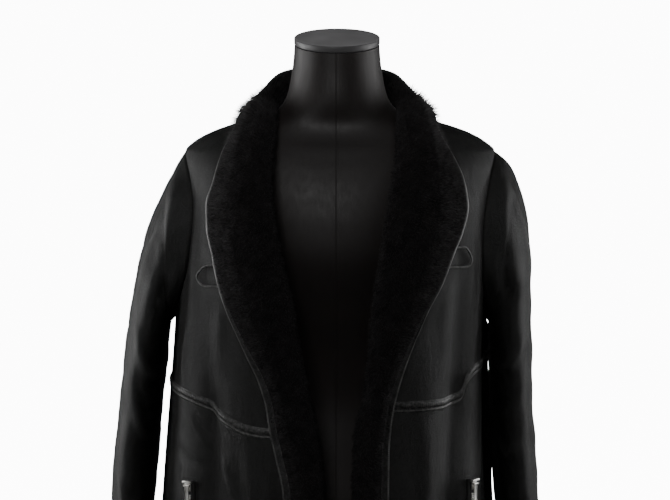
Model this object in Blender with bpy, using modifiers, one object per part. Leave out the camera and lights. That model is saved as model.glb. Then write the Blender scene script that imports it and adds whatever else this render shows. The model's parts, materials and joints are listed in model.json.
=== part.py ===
"""Shearling leather jacket, open, on a limbless counter-top dress form.

Metres, +Z up. The front faces -Y, so the wearer's left is at +X. The origin is the
centre of the base's underside. The jacket's outer surface is one function of an angle
and a height, worked out from the section table BODY; every panel, and every piece that
lies on a panel, is made from points of that surface moved in or out along its normal.
"""
import math

import bmesh
import bpy
import numpy as np
from mathutils import Matrix, Vector

# ---------------------------------------------------------------- driving sizes
LEATHER = 0.003            # wall of the panels and sleeves
COLLAR_LEATHER = 0.0025    # wall of the collar's skin side
SEAM_GAP = 0.0003          # between two pieces at a seam
EDGE_STEP = 0.0006         # from a panel's cut edge to the piece beside it
HEM_Z = 0.160
NECK_Z = 0.866             # the neckline, at the top of the body panels
ARMHOLE_LOW_Z = 0.600
ARMHOLE_TOP_Z = 0.819      # the shoulder tip
ARMHOLE_FRONT = 0.078      # the armhole's reach forward and back of the section's centre
ARMHOLE_BACK = 0.060
ARMHOLE_POWER = 2.1
LAPEL_STANDOFF = 0.0042    # panel's outer face to the lapel's fur-side face
FUR_GAP = 0.0005           # between the skin and its plain fur solid
FUR_REACH = 0.010
FUR_EDGE_REACH = 0.006     # beside the binding
FRONT_FUR_REACH = 0.008
FRONT_FUR_TOP_Z = 0.790
BINDING_THICK = 0.0056
BAND_HEIGHT = 0.014        # the stitched band on each front's curved seam
BAND_DROP = 0.0015         # the band's middle below the seam
BAND_THICK = 0.0012
FACET_ROOM = 0.0006        # room for the flat faces between two rows of a curved panel
LOOP_CORD = 0.0026         # diameter of the button loops' leather cord
SHOULDER_DROP = 0.0043     # the form's shoulder below the jacket's outer face

BASE_RADIUS = 0.150
BASE_THICK = 0.012
POLE_RADIUS = 0.014
FORM_BOTTOM_Z = 0.250
CAP_RADIUS = 0.0556
CAP_THICK = 0.009
CAP_TOP_Z = 0.9655
NECK_TILT = math.radians(12.0)

ZIP_TOP_Z = 0.406
ZIP_LENGTH = 0.150
ZIP_WIDTH = 0.014
ZIP_THICK = 0.0018
CROWN_WIDTH = 0.0135       # the slider's bright cross bar
CROWN_HEIGHT = 0.0034
PULL_WIDTH = 0.0052
PULL_LENGTH = 0.024
PULL_THICK = 0.0014

RIGHT = -1                 # the wearer's right, at -X
LEFT = 1
SIDES = ((RIGHT, "right"), (LEFT, "left"))


# ---------------------------------------------------------------- section tables
class Table:
    """Rows of numbers under named columns, read smoothly between rows by the first column."""

    def __init__(self, columns, rows):
        self.columns = columns.split()
        self.rows = np.array(sorted(rows), dtype=float)

    def at(self, column, key):
        """Value of a column at a key, on a cubic that keeps the rows' rises and falls."""
        keys = self.rows[:, 0]
        values = self.rows[:, self.columns.index(column)]
        steps = np.diff(keys)
        slopes = np.diff(values) / steps
        key = min(max(key, keys[0]), keys[-1])
        low = min(int(np.searchsorted(keys, key, side="right")) - 1, len(keys) - 2)

        def tangent(i):
            if i == 0:
                return slopes[0]
            if i == len(keys) - 1:
                return slopes[-1]
            if slopes[i - 1] * slopes[i] <= 0.0:
                return 0.0
            before = 2.0 * steps[i] + steps[i - 1]
            after = steps[i] + 2.0 * steps[i - 1]
            return (before + after) / (before / slopes[i - 1] + after / slopes[i])

        t = (key - keys[low]) / steps[low]
        start = (1.0 + 2.0 * t) * (1.0 - t) ** 2 * values[low]
        end = t * t * (3.0 - 2.0 * t) * values[low + 1]
        leave = t * (1.0 - t) ** 2 * steps[low] * tangent(low)
        arrive = t * t * (t - 1.0) * steps[low] * tangent(low + 1)
        return start + end + leave + arrive


# The jacket's outer face, a row for each height: half width on each side, depth of the
# front and of the back from the section's centre, and the section's roundness.
BODY = Table("z right left front back power", [
    (0.160, 0.240, 0.216, 0.168, 0.152, 2.3),
    (0.300, 0.236, 0.205, 0.160, 0.146, 2.3),
    (0.400, 0.229, 0.198, 0.154, 0.141, 2.4),
    (0.480, 0.222, 0.193, 0.150, 0.137, 2.4),
    (0.560, 0.214, 0.192, 0.148, 0.133, 2.5),
    (0.625, 0.209, 0.195, 0.147, 0.130, 2.5),
    (0.685, 0.204, 0.200, 0.146, 0.128, 2.5),
    (0.740, 0.200, 0.205, 0.141, 0.124, 2.5),
    (0.775, 0.199, 0.207, 0.132, 0.118, 2.5),
    (0.800, 0.199, 0.207, 0.117, 0.108, 2.5),
    (0.819, 0.197, 0.205, 0.098, 0.099, 2.5),
    (0.831, 0.185, 0.192, 0.084, 0.092, 2.5),
    (0.842, 0.165, 0.172, 0.073, 0.087, 2.5),
    (0.852, 0.138, 0.144, 0.064, 0.082, 2.5),
    (0.860, 0.110, 0.113, 0.056, 0.078, 2.4),
    (0.866, 0.088, 0.089, 0.050, 0.075, 2.4),
])

# Where each front's cut edge runs, and with it the fold of the lapel.
FOLD_LINE = Table("z right left", [
    (0.160, 0.024, 0.026),
    (0.400, 0.025, 0.028),
    (0.477, 0.033, 0.031),
    (0.528, 0.044, 0.042),
    (0.585, 0.055, 0.048),
    (0.642, 0.064, 0.053),
    (0.692, 0.076, 0.061),
    (0.742, 0.085, 0.068),
    (0.785, 0.090, 0.076),
    (0.812, 0.089, 0.081),
    (0.834, 0.086, 0.083),
    (0.852, 0.082, 0.081),
    (0.866, 0.076, 0.077),
])

# The lapel's free edge, to the outside of its binding.
FREE_EDGE = Table("z right left", [
    (0.160, 0.058, 0.057),
    (0.400, 0.068, 0.0645),
    (0.450, 0.078, 0.0650),
    (0.480, 0.0845, 0.0670),
    (0.510, 0.0890, 0.0715),
    (0.540, 0.0980, 0.0790),
    (0.570, 0.1120, 0.0890),
    (0.600, 0.1255, 0.1005),
    (0.630, 0.1385, 0.1140),
    (0.660, 0.1480, 0.1300),
    (0.700, 0.1560, 0.1455),
    (0.725, 0.1615, 0.1560),
    (0.755, 0.1625, 0.1625),
    (0.785, 0.1540, 0.1580),
    (0.815, 0.1455, 0.1450),
    (0.836, 0.1360, 0.1330),
    (0.850, 0.1300, 0.1270),
])

# How wide the binding is, and how far the lapel bulges off the panel under it.
LAPEL_FORM = Table("z binding crown", [
    (0.160, 0.0100, 0.003),
    (0.400, 0.0105, 0.004),
    (0.540, 0.0100, 0.005),
    (0.620, 0.0055, 0.006),
    (0.740, 0.0050, 0.010),
    (0.825, 0.0050, 0.009),
    (0.860, 0.0050, 0.004),
])

# The standing part of the collar, from the centre back round to the chest: its seam on
# the neckline, its free edge, and how far it bulges towards its fur.
COLLAR = Table("station base_x base_y base_z edge_x edge_y edge_z crown", [
    (0, 0.0000, 0.0740, 0.8682, 0.0000, 0.1040, 0.9215, -0.003),
    (1, 0.0420, 0.0680, 0.8684, 0.0440, 0.0960, 0.9200, -0.003),
    (2, 0.0730, 0.0420, 0.8694, 0.0770, 0.0660, 0.9130, -0.002),
    (3, 0.0870, 0.0050, 0.8708, 0.0985, 0.0270, 0.8915, 0.001),
    (4, 0.0790, -0.0240, 0.8705, 0.1215, -0.0160, 0.8660, 0.006),
])

# How much lower a lapel row's free edge lies than its start at the fold.
ROW_DIP = Table("z dip", [
    (0.160, 0.0000),
    (0.785, 0.0000),
    (0.819, 0.0040),
    (0.842, 0.0085),
    (0.860, 0.0110),
])

# The curved seam between the upper and the lower front, a row for each place across it.
# It steps up where it passes over a drape fold.
SEAM_RIGHT = Table("x z", [
    (0.030, 0.476),
    (0.088, 0.476),
    (0.117, 0.480),
    (0.135, 0.488),
    (0.150, 0.495),
    (0.158, 0.504),
    (0.170, 0.509),
    (0.190, 0.516),
    (0.225, 0.522),
])
SEAM_LEFT = Table("x z", [
    (0.030, 0.508),
    (0.075, 0.509),
    (0.130, 0.509),
    (0.150, 0.511),
    (0.158, 0.516),
    (0.164, 0.538),
    (0.172, 0.547),
    (0.200, 0.554),
])

# The largest drape folds. Each runs down the surface from its top to the hem, where it
# is deepest; a rise below zero is a valley.
FOLDS = [
    # side, face, top x, top z, hem x, half width, rise
    (RIGHT, "front", 0.158, 0.640, 0.150, 0.011, -0.0060),
    (RIGHT, "front", 0.186, 0.800, 0.196, 0.018, 0.0060),
    (RIGHT, "front", 0.112, 0.560, 0.104, 0.022, 0.0040),
    (LEFT, "front", 0.160, 0.760, 0.134, 0.011, -0.0070),
    (LEFT, "front", 0.180, 0.800, 0.164, 0.015, 0.0050),
    (LEFT, "front", 0.118, 0.620, 0.104, 0.020, 0.0040),
    (RIGHT, "back", 0.118, 0.760, 0.128, 0.022, 0.0080),
    (RIGHT, "back", 0.052, 0.560, 0.058, 0.020, -0.0060),
    (LEFT, "back", 0.096, 0.720, 0.112, 0.024, 0.0070),
    (LEFT, "back", 0.030, 0.600, 0.026, 0.022, 0.0050),
    (LEFT, "back", 0.150, 0.640, 0.158, 0.016, -0.0060),
]

# Each sleeve, a row for each ring down its length: how far its outer and its inner edge
# stand out from the body's side, their heights, the ring's depth and its middle. The
# right shoulder falls more steeply, by right_drop.
SLEEVE = Table("ring outer_out outer_z right_drop inner_out inner_z depth middle_y", [
    (1, 0.011, 0.8080, 0.010, 0.0065, 0.5930, 0.0710, -0.006),
    (2, 0.022, 0.7920, 0.016, 0.0080, 0.5840, 0.0735, -0.002),
    (3, 0.033, 0.7680, 0.014, 0.0090, 0.5720, 0.0770, 0.003),
    (4, 0.044, 0.7350, 0.008, 0.0095, 0.5560, 0.0800, 0.008),
    (5, 0.053, 0.6920, 0.004, 0.0100, 0.5340, 0.0825, 0.012),
    (6, 0.060, 0.6380, 0.000, 0.0105, 0.5050, 0.0825, 0.015),
    (7, 0.065, 0.5760, 0.000, 0.0110, 0.4680, 0.0810, 0.016),
    (8, 0.067, 0.5090, 0.000, 0.0110, 0.4250, 0.0780, 0.016),
    (9, 0.068, 0.4410, 0.000, 0.0115, 0.3780, 0.0740, 0.012),
    (10, 0.068, 0.3750, 0.000, 0.0120, 0.3300, 0.0695, 0.006),
    (11, 0.067, 0.3120, 0.000, 0.0125, 0.2830, 0.0655, 0.000),
    (12, 0.066, 0.2580, 0.000, 0.0130, 0.2420, 0.0625, -0.004),
    (13, 0.065, 0.2240, 0.000, 0.0135, 0.2160, 0.0610, -0.007),
])
SLEEVE_RINGS = 13

# The dress form below its shoulders, a general figure.
FORM = Table("z width front back power", [
    (0.250, 0.158, 0.104, 0.104, 2.2),
    (0.262, 0.169, 0.113, 0.113, 2.2),
    (0.300, 0.173, 0.116, 0.117, 2.2),
    (0.360, 0.166, 0.110, 0.115, 2.2),
    (0.430, 0.144, 0.097, 0.104, 2.2),
    (0.500, 0.126, 0.086, 0.093, 2.2),
    (0.560, 0.128, 0.089, 0.093, 2.2),
    (0.620, 0.139, 0.101, 0.098, 2.2),
    (0.680, 0.151, 0.112, 0.103, 2.2),
    (0.730, 0.158, 0.109, 0.104, 2.2),
    (0.770, 0.166, 0.100, 0.099, 2.2),
    (0.795, 0.174, 0.090, 0.092, 2.2),
    (0.812, 0.174, 0.081, 0.088, 2.3),
    (0.826, 0.168, 0.073, 0.085, 2.3),
])

# The form's shoulder, just under the jacket's: the jacket's height and the form's front.
FORM_SHOULDER = Table("jacket_z front", [
    (0.842, 0.0640),
    (0.852, 0.0582),
    (0.860, 0.0535),
    (0.866, 0.0515),
])

# The form's neck, whose rings lean forward more and more.
NECK = Table("z width depth tilt_share", [
    (0.872, 0.0695, 0.0620, 0.10),
    (0.884, 0.0652, 0.0600, 0.30),
    (0.904, 0.0612, 0.0585, 0.60),
    (0.930, 0.0572, 0.0565, 0.90),
    (0.956, 0.0550, 0.0548, 1.00),
])


# ---------------------------------------------------------------- the jacket's surface
def side_column(side):
    return "left" if side == LEFT else "right"


def bent_power(value, power):
    return math.copysign(abs(value) ** power, value)


def plain_point(side, angle, z):
    """A point of the undraped outer face. Angle 0 is the centre front, pi the centre back."""
    width = BODY.at(side_column(side), z)
    bend = 2.0 / BODY.at("power", z)
    depth = -BODY.at("front", z) if math.cos(angle) >= 0.0 else BODY.at("back", z)
    x = side * width * bent_power(math.sin(angle), bend)
    y = depth * abs(math.cos(angle)) ** bend
    return Vector((x, y, z))


def normal_of(point_at, angle, z, side):
    """Unit normal of a surface given as point_at(side, angle, z), pointing outward."""
    step_angle = 0.01
    step_z = 0.002
    around = point_at(side, angle + step_angle, z) - point_at(side, angle - step_angle, z)
    top = min(z + step_z, NECK_Z)
    upward = point_at(side, angle, top) - point_at(side, angle, top - 2.0 * step_z)
    normal = around.cross(upward) * side
    return normal.normalized()


def drape(side, point, on_front):
    """How far the drape folds lift a point of the outer face."""
    rise_total = 0.0
    for fold_side, face, top_x, top_z, hem_x, half_width, rise in FOLDS:
        if fold_side != side or (face == "front") != on_front or point.z >= top_z:
            continue
        run = (top_z - point.z) / (top_z - HEM_Z)
        middle = top_x + (hem_x - top_x) * run
        across = (abs(point.x) - middle) / half_width
        growth = min(1.0, 2.2 * run)
        rise_total += rise * growth * growth * (3.0 - 2.0 * growth) * math.exp(-across * across)
    return rise_total


def body_point(side, angle, z, out=0.0):
    """A point of the jacket's draped outer face, moved out along the plain normal."""
    point = plain_point(side, angle, z)
    lift = drape(side, point, math.cos(angle) >= 0.0)
    return point + normal_of(plain_point, angle, z, side) * (lift + out)


def angle_at_x(side, x, z):
    """The angle of the front face's point that lies a distance x from the middle."""
    share = min(1.0, x / BODY.at(side_column(side), z))
    return math.asin(share ** (BODY.at("power", z) / 2.0))


def angle_at_depth(column, depth, z):
    """The angle from the centre front or back of the point that lies this far from the side."""
    share = min(1.0, depth / BODY.at(column, z))
    return math.acos(share ** (BODY.at("power", z) / 2.0))


def armhole_depth(reach, z):
    """Half width of the armhole at a height."""
    middle = (ARMHOLE_TOP_Z + ARMHOLE_LOW_Z) / 2.0
    share = abs(z - middle) / ((ARMHOLE_TOP_Z - ARMHOLE_LOW_Z) / 2.0)
    if share >= 1.0:
        return 0.0
    return reach * (1.0 - share ** ARMHOLE_POWER) ** (1.0 / ARMHOLE_POWER)


def front_side_angle(z):
    """Where a front panel ends: its side seam, its armhole or its shoulder seam."""
    depth = armhole_depth(ARMHOLE_FRONT, z)
    return angle_at_depth("front", depth + SEAM_GAP, z)


def back_side_angle(z):
    """Where the back ends: its side seam, its armhole or its shoulder seam."""
    depth = armhole_depth(ARMHOLE_BACK, z)
    return math.pi - angle_at_depth("back", depth + SEAM_GAP, z)


def seam_z(side, x):
    table = SEAM_LEFT if side == LEFT else SEAM_RIGHT
    return table.at("z", x)


def armhole_heights():
    """Heights of the armhole's points, closer together towards its ends."""
    count = 8
    middle = (ARMHOLE_TOP_Z + ARMHOLE_LOW_Z) / 2.0
    half = (ARMHOLE_TOP_Z - ARMHOLE_LOW_Z) / 2.0
    return [middle - half * math.cos(math.pi * i / count) for i in range(count + 1)]


SHOULDER_HEIGHTS = [0.831, 0.842, 0.852, 0.860, NECK_Z]


def spread(low, high, count):
    """Evenly spaced values with both ends."""
    return [low + (high - low) * i / (count - 1) for i in range(count)]


# ---------------------------------------------------------------- making objects
def collection(name):
    made = bpy.data.collections.new(name)
    bpy.context.scene.collection.children.link(made)
    return made


def material(name, colour, roughness, metallic=0.0):
    made = bpy.data.materials.new(name)
    made.use_nodes = True
    shader = made.node_tree.nodes["Principled BSDF"]
    shader.inputs["Base Color"].default_value = (*colour, 1.0)
    shader.inputs["Roughness"].default_value = roughness
    shader.inputs["Metallic"].default_value = metallic
    made.diffuse_color = (*colour, 1.0)
    return made


def add_mesh(name, vertices, faces, finish, home):
    """A closed mesh object with its faces turned outward."""
    mesh = bpy.data.meshes.new(name)
    mesh.from_pydata([tuple(v) for v in vertices], [], faces)
    work = bmesh.new()
    work.from_mesh(mesh)
    bmesh.ops.recalc_face_normals(work, faces=work.faces)
    work.to_mesh(mesh)
    work.free()
    mesh.shade_smooth()
    mesh.set_sharp_from_angle(angle=math.radians(40.0))
    made = bpy.data.objects.new(name, mesh)
    made.data.materials.append(finish)
    home.objects.link(made)
    return made


def sheet_solid(name, under, over, finish, home, ring=False):
    """A wall between two grids of points, whose squares are all cut along one diagonal.

    ring joins the last column to the first.
    """
    rows = len(under)
    columns = len(under[0])
    vertices = [p for row in under for p in row] + [p for row in over for p in row]
    half = rows * columns
    spans = columns if ring else columns - 1
    faces = []
    for r in range(rows - 1):
        for c in range(spans):
            d = (c + 1) % columns
            a = r * columns
            b = (r + 1) * columns
            for start in (0, half):
                faces.append((start + a + c, start + a + d, start + b + d))
                faces.append((start + a + c, start + b + d, start + b + c))
    for r in (0, rows - 1):
        for c in range(spans):
            d = (c + 1) % columns
            a = r * columns
            faces.append((a + c, half + a + c, half + a + d, a + d))
    if not ring:
        for c in (0, columns - 1):
            for r in range(rows - 1):
                a = r * columns + c
                b = a + columns
                faces.append((a, b, half + b, half + a))
    return add_mesh(name, vertices, faces, finish, home)


def swept_solid(name, rings, finish, home):
    """A closed solid through rings of like count, with a flat face at each end."""
    count = len(rings[0])
    vertices = [p for ring in rings for p in ring]
    faces = []
    for r in range(len(rings) - 1):
        for c in range(count):
            d = (c + 1) % count
            a = r * count
            b = a + count
            faces.append((a + c, a + d, b + d))
            faces.append((a + c, b + d, b + c))
    faces.append(tuple(range(count))[::-1])
    last = (len(rings) - 1) * count
    faces.append(tuple(range(last, last + count)))
    return add_mesh(name, vertices, faces, finish, home)


# ---------------------------------------------------------------- body panels
def panel(name, rows, finish, home):
    """A body panel. Each row lists its points as side, angle and height."""
    over = [[body_point(side, angle, z) for side, angle, z in row] for row in rows]
    under = [[body_point(side, angle, z, -LEATHER) for side, angle, z in row] for row in rows]
    return sheet_solid(name, under, over, finish, home)


# The columns across a front, closer together where the drape folds run.
FRONT_SHARES = (0.0, 0.16, 0.29, 0.38, 0.44, 0.50, 0.57, 0.65, 0.75, 0.87, 1.0)


def front_row(side, z_at):
    """Places across a front from its cut edge to its side; z_at gives the height at an x."""
    row = []
    for share in FRONT_SHARES:
        z = z_at(0.12)
        for _ in range(4):
            start = angle_at_x(side, FOLD_LINE.at(side_column(side), z), z)
            angle = start + (front_side_angle(z) - start) * share
            z = z_at(abs(plain_point(side, angle, z).x))
        row.append((side, angle, z))
    return row


def upper_front_rows(side):
    """Rows of an upper front, from its curved seam up to the neckline."""
    rows = []
    for share in (0.0, 0.35, 0.7):
        def height(x, share=share):
            start = seam_z(side, x) + SEAM_GAP / 2.0
            return start + (ARMHOLE_LOW_Z - start) * share
        rows.append(front_row(side, height))
    for z in armhole_heights() + SHOULDER_HEIGHTS:
        rows.append(front_row(side, lambda x, z=z: z))
    return rows


def lower_front_rows(side):
    """Rows of a lower front, from the hem up to its curved seam."""
    rows = []
    for share in spread(0.0, 1.0, 8):
        def height(x, share=share):
            top = seam_z(side, x) - SEAM_GAP / 2.0
            return HEM_Z + (top - HEM_Z) * share
        rows.append(front_row(side, height))
    return rows


def make_fronts(finish, home):
    for side, word in SIDES:
        panel("front_upper_" + word, upper_front_rows(side), finish, home)
        panel("front_lower_" + word, lower_front_rows(side), finish, home)


def lapel_heights(side):
    """Heights of the fronts' rows at the fold, from the collar down to the hem."""
    rows = lower_front_rows(side) + upper_front_rows(side)[1:-1]
    return [row[0][2] for row in reversed(rows)]


def make_back(finish, home):
    heights = spread(HEM_Z, ARMHOLE_LOW_Z, 8)[:-1] + armhole_heights() + SHOULDER_HEIGHTS
    rows = []
    for z in heights:
        right = [(RIGHT, a, z) for a in spread(back_side_angle(z), math.pi, 10)]
        left = [(LEFT, a, z) for a in spread(math.pi, back_side_angle(z), 10)]
        rows.append(right + left[1:])
    panel("back", rows, finish, home)


def make_seam_bands(finish, home):
    """The stitched band over each curved seam, on the panel's own points."""
    for side, word in SIDES:
        rows = []
        for rise in (-BAND_HEIGHT / 2.0 - BAND_DROP, 0.0, BAND_HEIGHT / 2.0 - BAND_DROP):
            row = front_row(side, lambda x, rise=rise: seam_z(side, x) + rise)
            edge_x = FREE_EDGE.at(side_column(side), row[2][2]) + 2.0 * EDGE_STEP
            edge_z = seam_z(side, edge_x) + rise
            start = (side, angle_at_x(side, edge_x, edge_z), edge_z)
            rows.append([start] + row[1:])
        out = SEAM_GAP + FACET_ROOM
        under = [[body_point(s, a, z, out) for s, a, z in row] for row in rows]
        over = [[body_point(s, a, z, out + BAND_THICK) for s, a, z in row] for row in rows]
        sheet_solid("seam_band_" + word, under, over, finish, home)


# ---------------------------------------------------------------- sleeves
def armhole_ring(side, toward_middle, depth_in):
    """Points round the armhole, from its top over the front to its foot and up the back."""
    heights = armhole_heights()
    middle = Vector((0.0, 0.0, (ARMHOLE_TOP_Z + ARMHOLE_LOW_Z) / 2.0))
    ring = []
    places = [(front_side_angle(z), z) for z in reversed(heights)]
    places += [(back_side_angle(z), z) for z in heights[1:-1]]
    for angle, z in places:
        rim = body_point(side, angle, z)
        if z in (heights[0], heights[-1]):
            rim.y = 0.0
        inward = middle - Vector((0.0, rim.y, rim.z))
        inward.normalize()
        ring.append(rim + inward * (toward_middle + depth_in))
    return ring


def sleeve_ring(side, number, inset):
    """One ring of a sleeve, with the armhole's point order, inset by the wall."""
    count = 16
    out_z = SLEEVE.at("outer_z", number)
    if side == RIGHT:
        out_z -= SLEEVE.at("right_drop", number)
    in_z = SLEEVE.at("inner_z", number)
    column = side_column(side)
    outer = Vector((BODY.at(column, out_z) + SLEEVE.at("outer_out", number), 0.0, out_z))
    inner = Vector((BODY.at(column, in_z) + SLEEVE.at("inner_out", number), 0.0, in_z))
    middle = (outer + inner) / 2.0
    long_axis = (outer - inner) / 2.0
    half_long = long_axis.length - inset
    half_deep = SLEEVE.at("depth", number) - inset
    long_axis.normalize()
    bend = 2.0 / 2.3
    ring = []
    for i in range(count):
        turn = 2.0 * math.pi * i / count
        along = half_long * bent_power(math.cos(turn), bend)
        deep = -half_deep * bent_power(math.sin(turn), bend)
        point = middle + long_axis * along
        point.y = SLEEVE.at("middle_y", number) + deep
        ring.append(Vector((side * point.x, point.y, point.z)))
    return ring


def make_sleeves(finish, home):
    for side, word in SIDES:
        over = [armhole_ring(side, EDGE_STEP, 0.0)]
        under = [armhole_ring(side, EDGE_STEP, LEATHER)]
        for number in range(1, SLEEVE_RINGS + 1):
            over.append(sleeve_ring(side, number, 0.0))
            under.append(sleeve_ring(side, number, LEATHER))
        sheet_solid("sleeve_" + word, under, over, finish, home, ring=True)


# ---------------------------------------------------------------- collar and lapels
STANDING_ROWS = 5
ACROSS = (0.0, 0.13, 0.34, 0.64, 1.0)
FUR_END = 0.90             # where the fur ends within the last of these spans


def roll(share):
    """The lapel's puffed section: highest a third of the way across, flat at the free edge."""
    return 6.75 * share * (1.0 - share) ** 2


def lapel_place(side, z, share, beyond=0.0):
    """Where a lapel row lies on the front: distance from the middle and height."""
    column = side_column(side)
    edge_z = z - ROW_DIP.at("dip", z)
    fold_x = FOLD_LINE.at(column, z)
    edge_x = FREE_EDGE.at(column, edge_z) - LAPEL_FORM.at("binding", edge_z)
    return fold_x + (edge_x - fold_x) * share + beyond, z + (edge_z - z) * share


def over_front(side, x, z, out):
    return body_point(side, angle_at_x(side, x, z), z, out)


def lapel_row(side, z, across):
    """Fur-side points of the lapel's leather, lying over the front panel."""
    row = []
    for share in across:
        x, here_z = lapel_place(side, z, share)
        out = LAPEL_STANDOFF + LAPEL_FORM.at("crown", z) * roll(share)
        row.append(over_front(side, x, here_z, out))
    return row


def standing_row(side, station, across):
    """Fur-side points of the standing collar, before its bulge, at a station from the back."""
    base = Vector([COLLAR.at("base_" + axis, station) for axis in "xyz"])
    edge = Vector([COLLAR.at("edge_" + axis, station) for axis in "xyz"])
    row = []
    for share in across:
        point = base.lerp(edge, share)
        row.append(Vector((side * max(point.x, SEAM_GAP / 2.0), point.y, point.z)))
    return row


def shawl_grid(side, across):
    """The fur-side face of the shawl collar's leather, from the centre back to the hem."""
    grid = [standing_row(side, station, across) for station in range(STANDING_ROWS)]
    grid += [lapel_row(side, z, across) for z in lapel_heights(side)]
    normals = grid_normals(grid, side)
    for station in range(STANDING_ROWS):
        for c, share in enumerate(across):
            bulge = COLLAR.at("crown", station) * math.sin(math.pi * share)
            grid[station][c] = grid[station][c] + Vector(normals[station][c]) * bulge
    return grid


def grid_normals(grid, side):
    """Unit normals of the shawl's grid, towards its fur."""
    points = np.array(grid)
    down = np.gradient(points, axis=0)
    out = np.gradient(points, axis=1)
    normals = np.cross(down, out) * side
    normals[0, :, 0] = 0.0
    normals /= np.linalg.norm(normals, axis=2)[:, :, None]
    return normals


def moved(grid, normals, distances):
    """The grid's points moved along their normals, a distance for each column."""
    points = np.array(grid) + normals * np.array(distances)[None, :, None]
    return [[Vector(p) for p in row] for row in points]


def fold_frame(side, z):
    """At the front's cut edge: the point, the direction off the panel and the outward normal."""
    angle = angle_at_x(side, FOLD_LINE.at(side_column(side), z), z)
    point = body_point(side, angle, z)
    normal = normal_of(plain_point, angle, z, side)
    ahead = body_point(side, angle + 0.01, z) - point
    off_panel = -(ahead - normal * ahead.dot(normal)).normalized()
    return point, off_panel, normal


def make_collar(leather, fur, home):
    reaches = (0.0105, FUR_REACH, FUR_REACH, FUR_REACH, FUR_EDGE_REACH)
    for side, word in SIDES:
        grid = shawl_grid(side, ACROSS)
        normals = grid_normals(grid, side)
        under = moved(grid, normals, [-COLLAR_LEATHER] * len(ACROSS))
        sheet_solid("collar_leather_" + word, under, grid, leather, home)

        grid = [row[:-1] + [Vector(row[-2]).lerp(Vector(row[-1]), FUR_END)] for row in grid]
        lower = moved(grid, normals, [FUR_GAP] * len(ACROSS))
        upper = moved(grid, normals, reaches)
        for r in range(len(grid)):
            nose_lower, nose_upper = fur_nose(side, r, grid[r], Vector(normals[r][0]))
            lower[r] = nose_lower + lower[r]
            upper[r] = nose_upper + upper[r]
            if r < STANDING_ROWS:
                share = r / STANDING_ROWS
                upper[r][2] = Vector(grid[r][0]) + Vector(normals[r][0]) * (0.004 + 0.004 * share)
        sheet_solid("collar_fur_" + word, lower, upper, fur, home)


def fur_nose(side, r, row, normal):
    """The fur's rounded edge over the fold: two lower and two upper points for a row."""
    first = Vector(row[0])
    across = (Vector(row[1]) - first).normalized()
    if r < STANDING_ROWS:
        lower = [first - across * 0.0012 + normal * 0.0004, first - across * 0.0004 + normal * SEAM_GAP]
        upper = [first - across * 0.0016 + normal * 0.0016, first - across * 0.0010 + normal * 0.0030]
        return lower, upper
    z = lapel_heights(side)[r - STANDING_ROWS]
    point, off, out = fold_frame(side, z)
    growth = min(1.0, (r - STANDING_ROWS + 1) / 3.0)
    start = point + off * EDGE_STEP
    lower = [start + out * SEAM_GAP, start + out * (LAPEL_STANDOFF + 2.0 * SEAM_GAP)]
    upper = [start + off * (0.0115 * growth) + out * (SEAM_GAP + 0.0002),
             start + off * (0.0085 * growth) + out * (0.0080 + 0.0010 * growth)]
    return lower, upper


def make_front_fur(fur, home):
    """The fur on the inside of each front, from its cut edge to the panel's next column."""
    tip = SEAM_GAP + FRONT_FUR_REACH
    for side, word in SIDES:
        lower = []
        upper = []
        for row in lower_front_rows(side) + upper_front_rows(side)[1:]:
            z = row[0][2]
            if z > FRONT_FUR_TOP_Z:
                continue
            point, off, out = fold_frame(side, z)
            edge = body_point(*row[0], -LEATHER)
            inside = body_point(*row[1], -LEATHER)
            start = point + off * EDGE_STEP
            lower.append([start - out * SEAM_GAP, start - out * (LEATHER + SEAM_GAP),
                          edge - out * SEAM_GAP, inside - out * SEAM_GAP])
            upper.append([start + off * 0.0100 - out * (SEAM_GAP + 0.0002),
                          start + off * 0.0070 - out * 0.0085, edge - out * tip,
                          inside - out * tip * 0.6])
        sheet_solid("front_fur_" + word, lower, upper, fur, home)


def binding_section(width):
    """The binding's section: distances beyond the leather's edge and off its fur side."""
    low = -COLLAR_LEATHER - SEAM_GAP
    high = low + BINDING_THICK
    return [(EDGE_STEP, low), (width * 0.8, low), (width, low + BINDING_THICK * 0.3),
            (width, low + BINDING_THICK * 0.7), (width * 0.8, high), (EDGE_STEP, high)]


def make_bindings(leather, home):
    """The binding round the free edge, as a rounded flat section swept along it."""
    for side, word in SIDES:
        grid = shawl_grid(side, ACROSS)
        normals = grid_normals(grid, side)
        rings = []
        for r in range(STANDING_ROWS):
            edge = grid[r][-1]
            across = edge - grid[r][-2]
            if r == 0:
                across.x = 0.0
            across.normalize()
            normal = Vector(normals[r][-1])
            across = (across - normal * across.dot(normal)).normalized()
            edge = edge + across * (2.5 * EDGE_STEP)
            width = LAPEL_FORM.at("binding", NECK_Z)
            rings.append([edge + across * far + normal * off for far, off in binding_section(width)])
        for z in lapel_heights(side):
            width = LAPEL_FORM.at("binding", z)
            ring = []
            for far, off in binding_section(width):
                x, here_z = lapel_place(side, z, 1.0, far)
                ring.append(over_front(side, x, here_z, LAPEL_STANDOFF + off))
            rings.append(ring)
        swept_solid("edge_binding_" + word, rings, leather, home)


# ---------------------------------------------------------------- button loops
# Each loop's course on the front between its two ends on the binding: x and z.
LOOP_COURSE = {
    RIGHT: [(0.1640, 0.6795), (0.1700, 0.6735), (0.1735, 0.6665),
            (0.1710, 0.6590), (0.1640, 0.6555)],
    LEFT: [(0.1580, 0.7045), (0.1625, 0.7000), (0.1658, 0.6930),
           (0.1668, 0.6855), (0.1630, 0.6800), (0.1540, 0.6797)],
}
LOOP_ENDS = {RIGHT: (0.6835, 0.6565), LEFT: (0.7050, 0.6815)}
LOOP_OUT = 0.0032          # the cord's middle off the panel
LOOP_END_GAP = 0.0012      # the cord's end off the binding, at its middle


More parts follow.
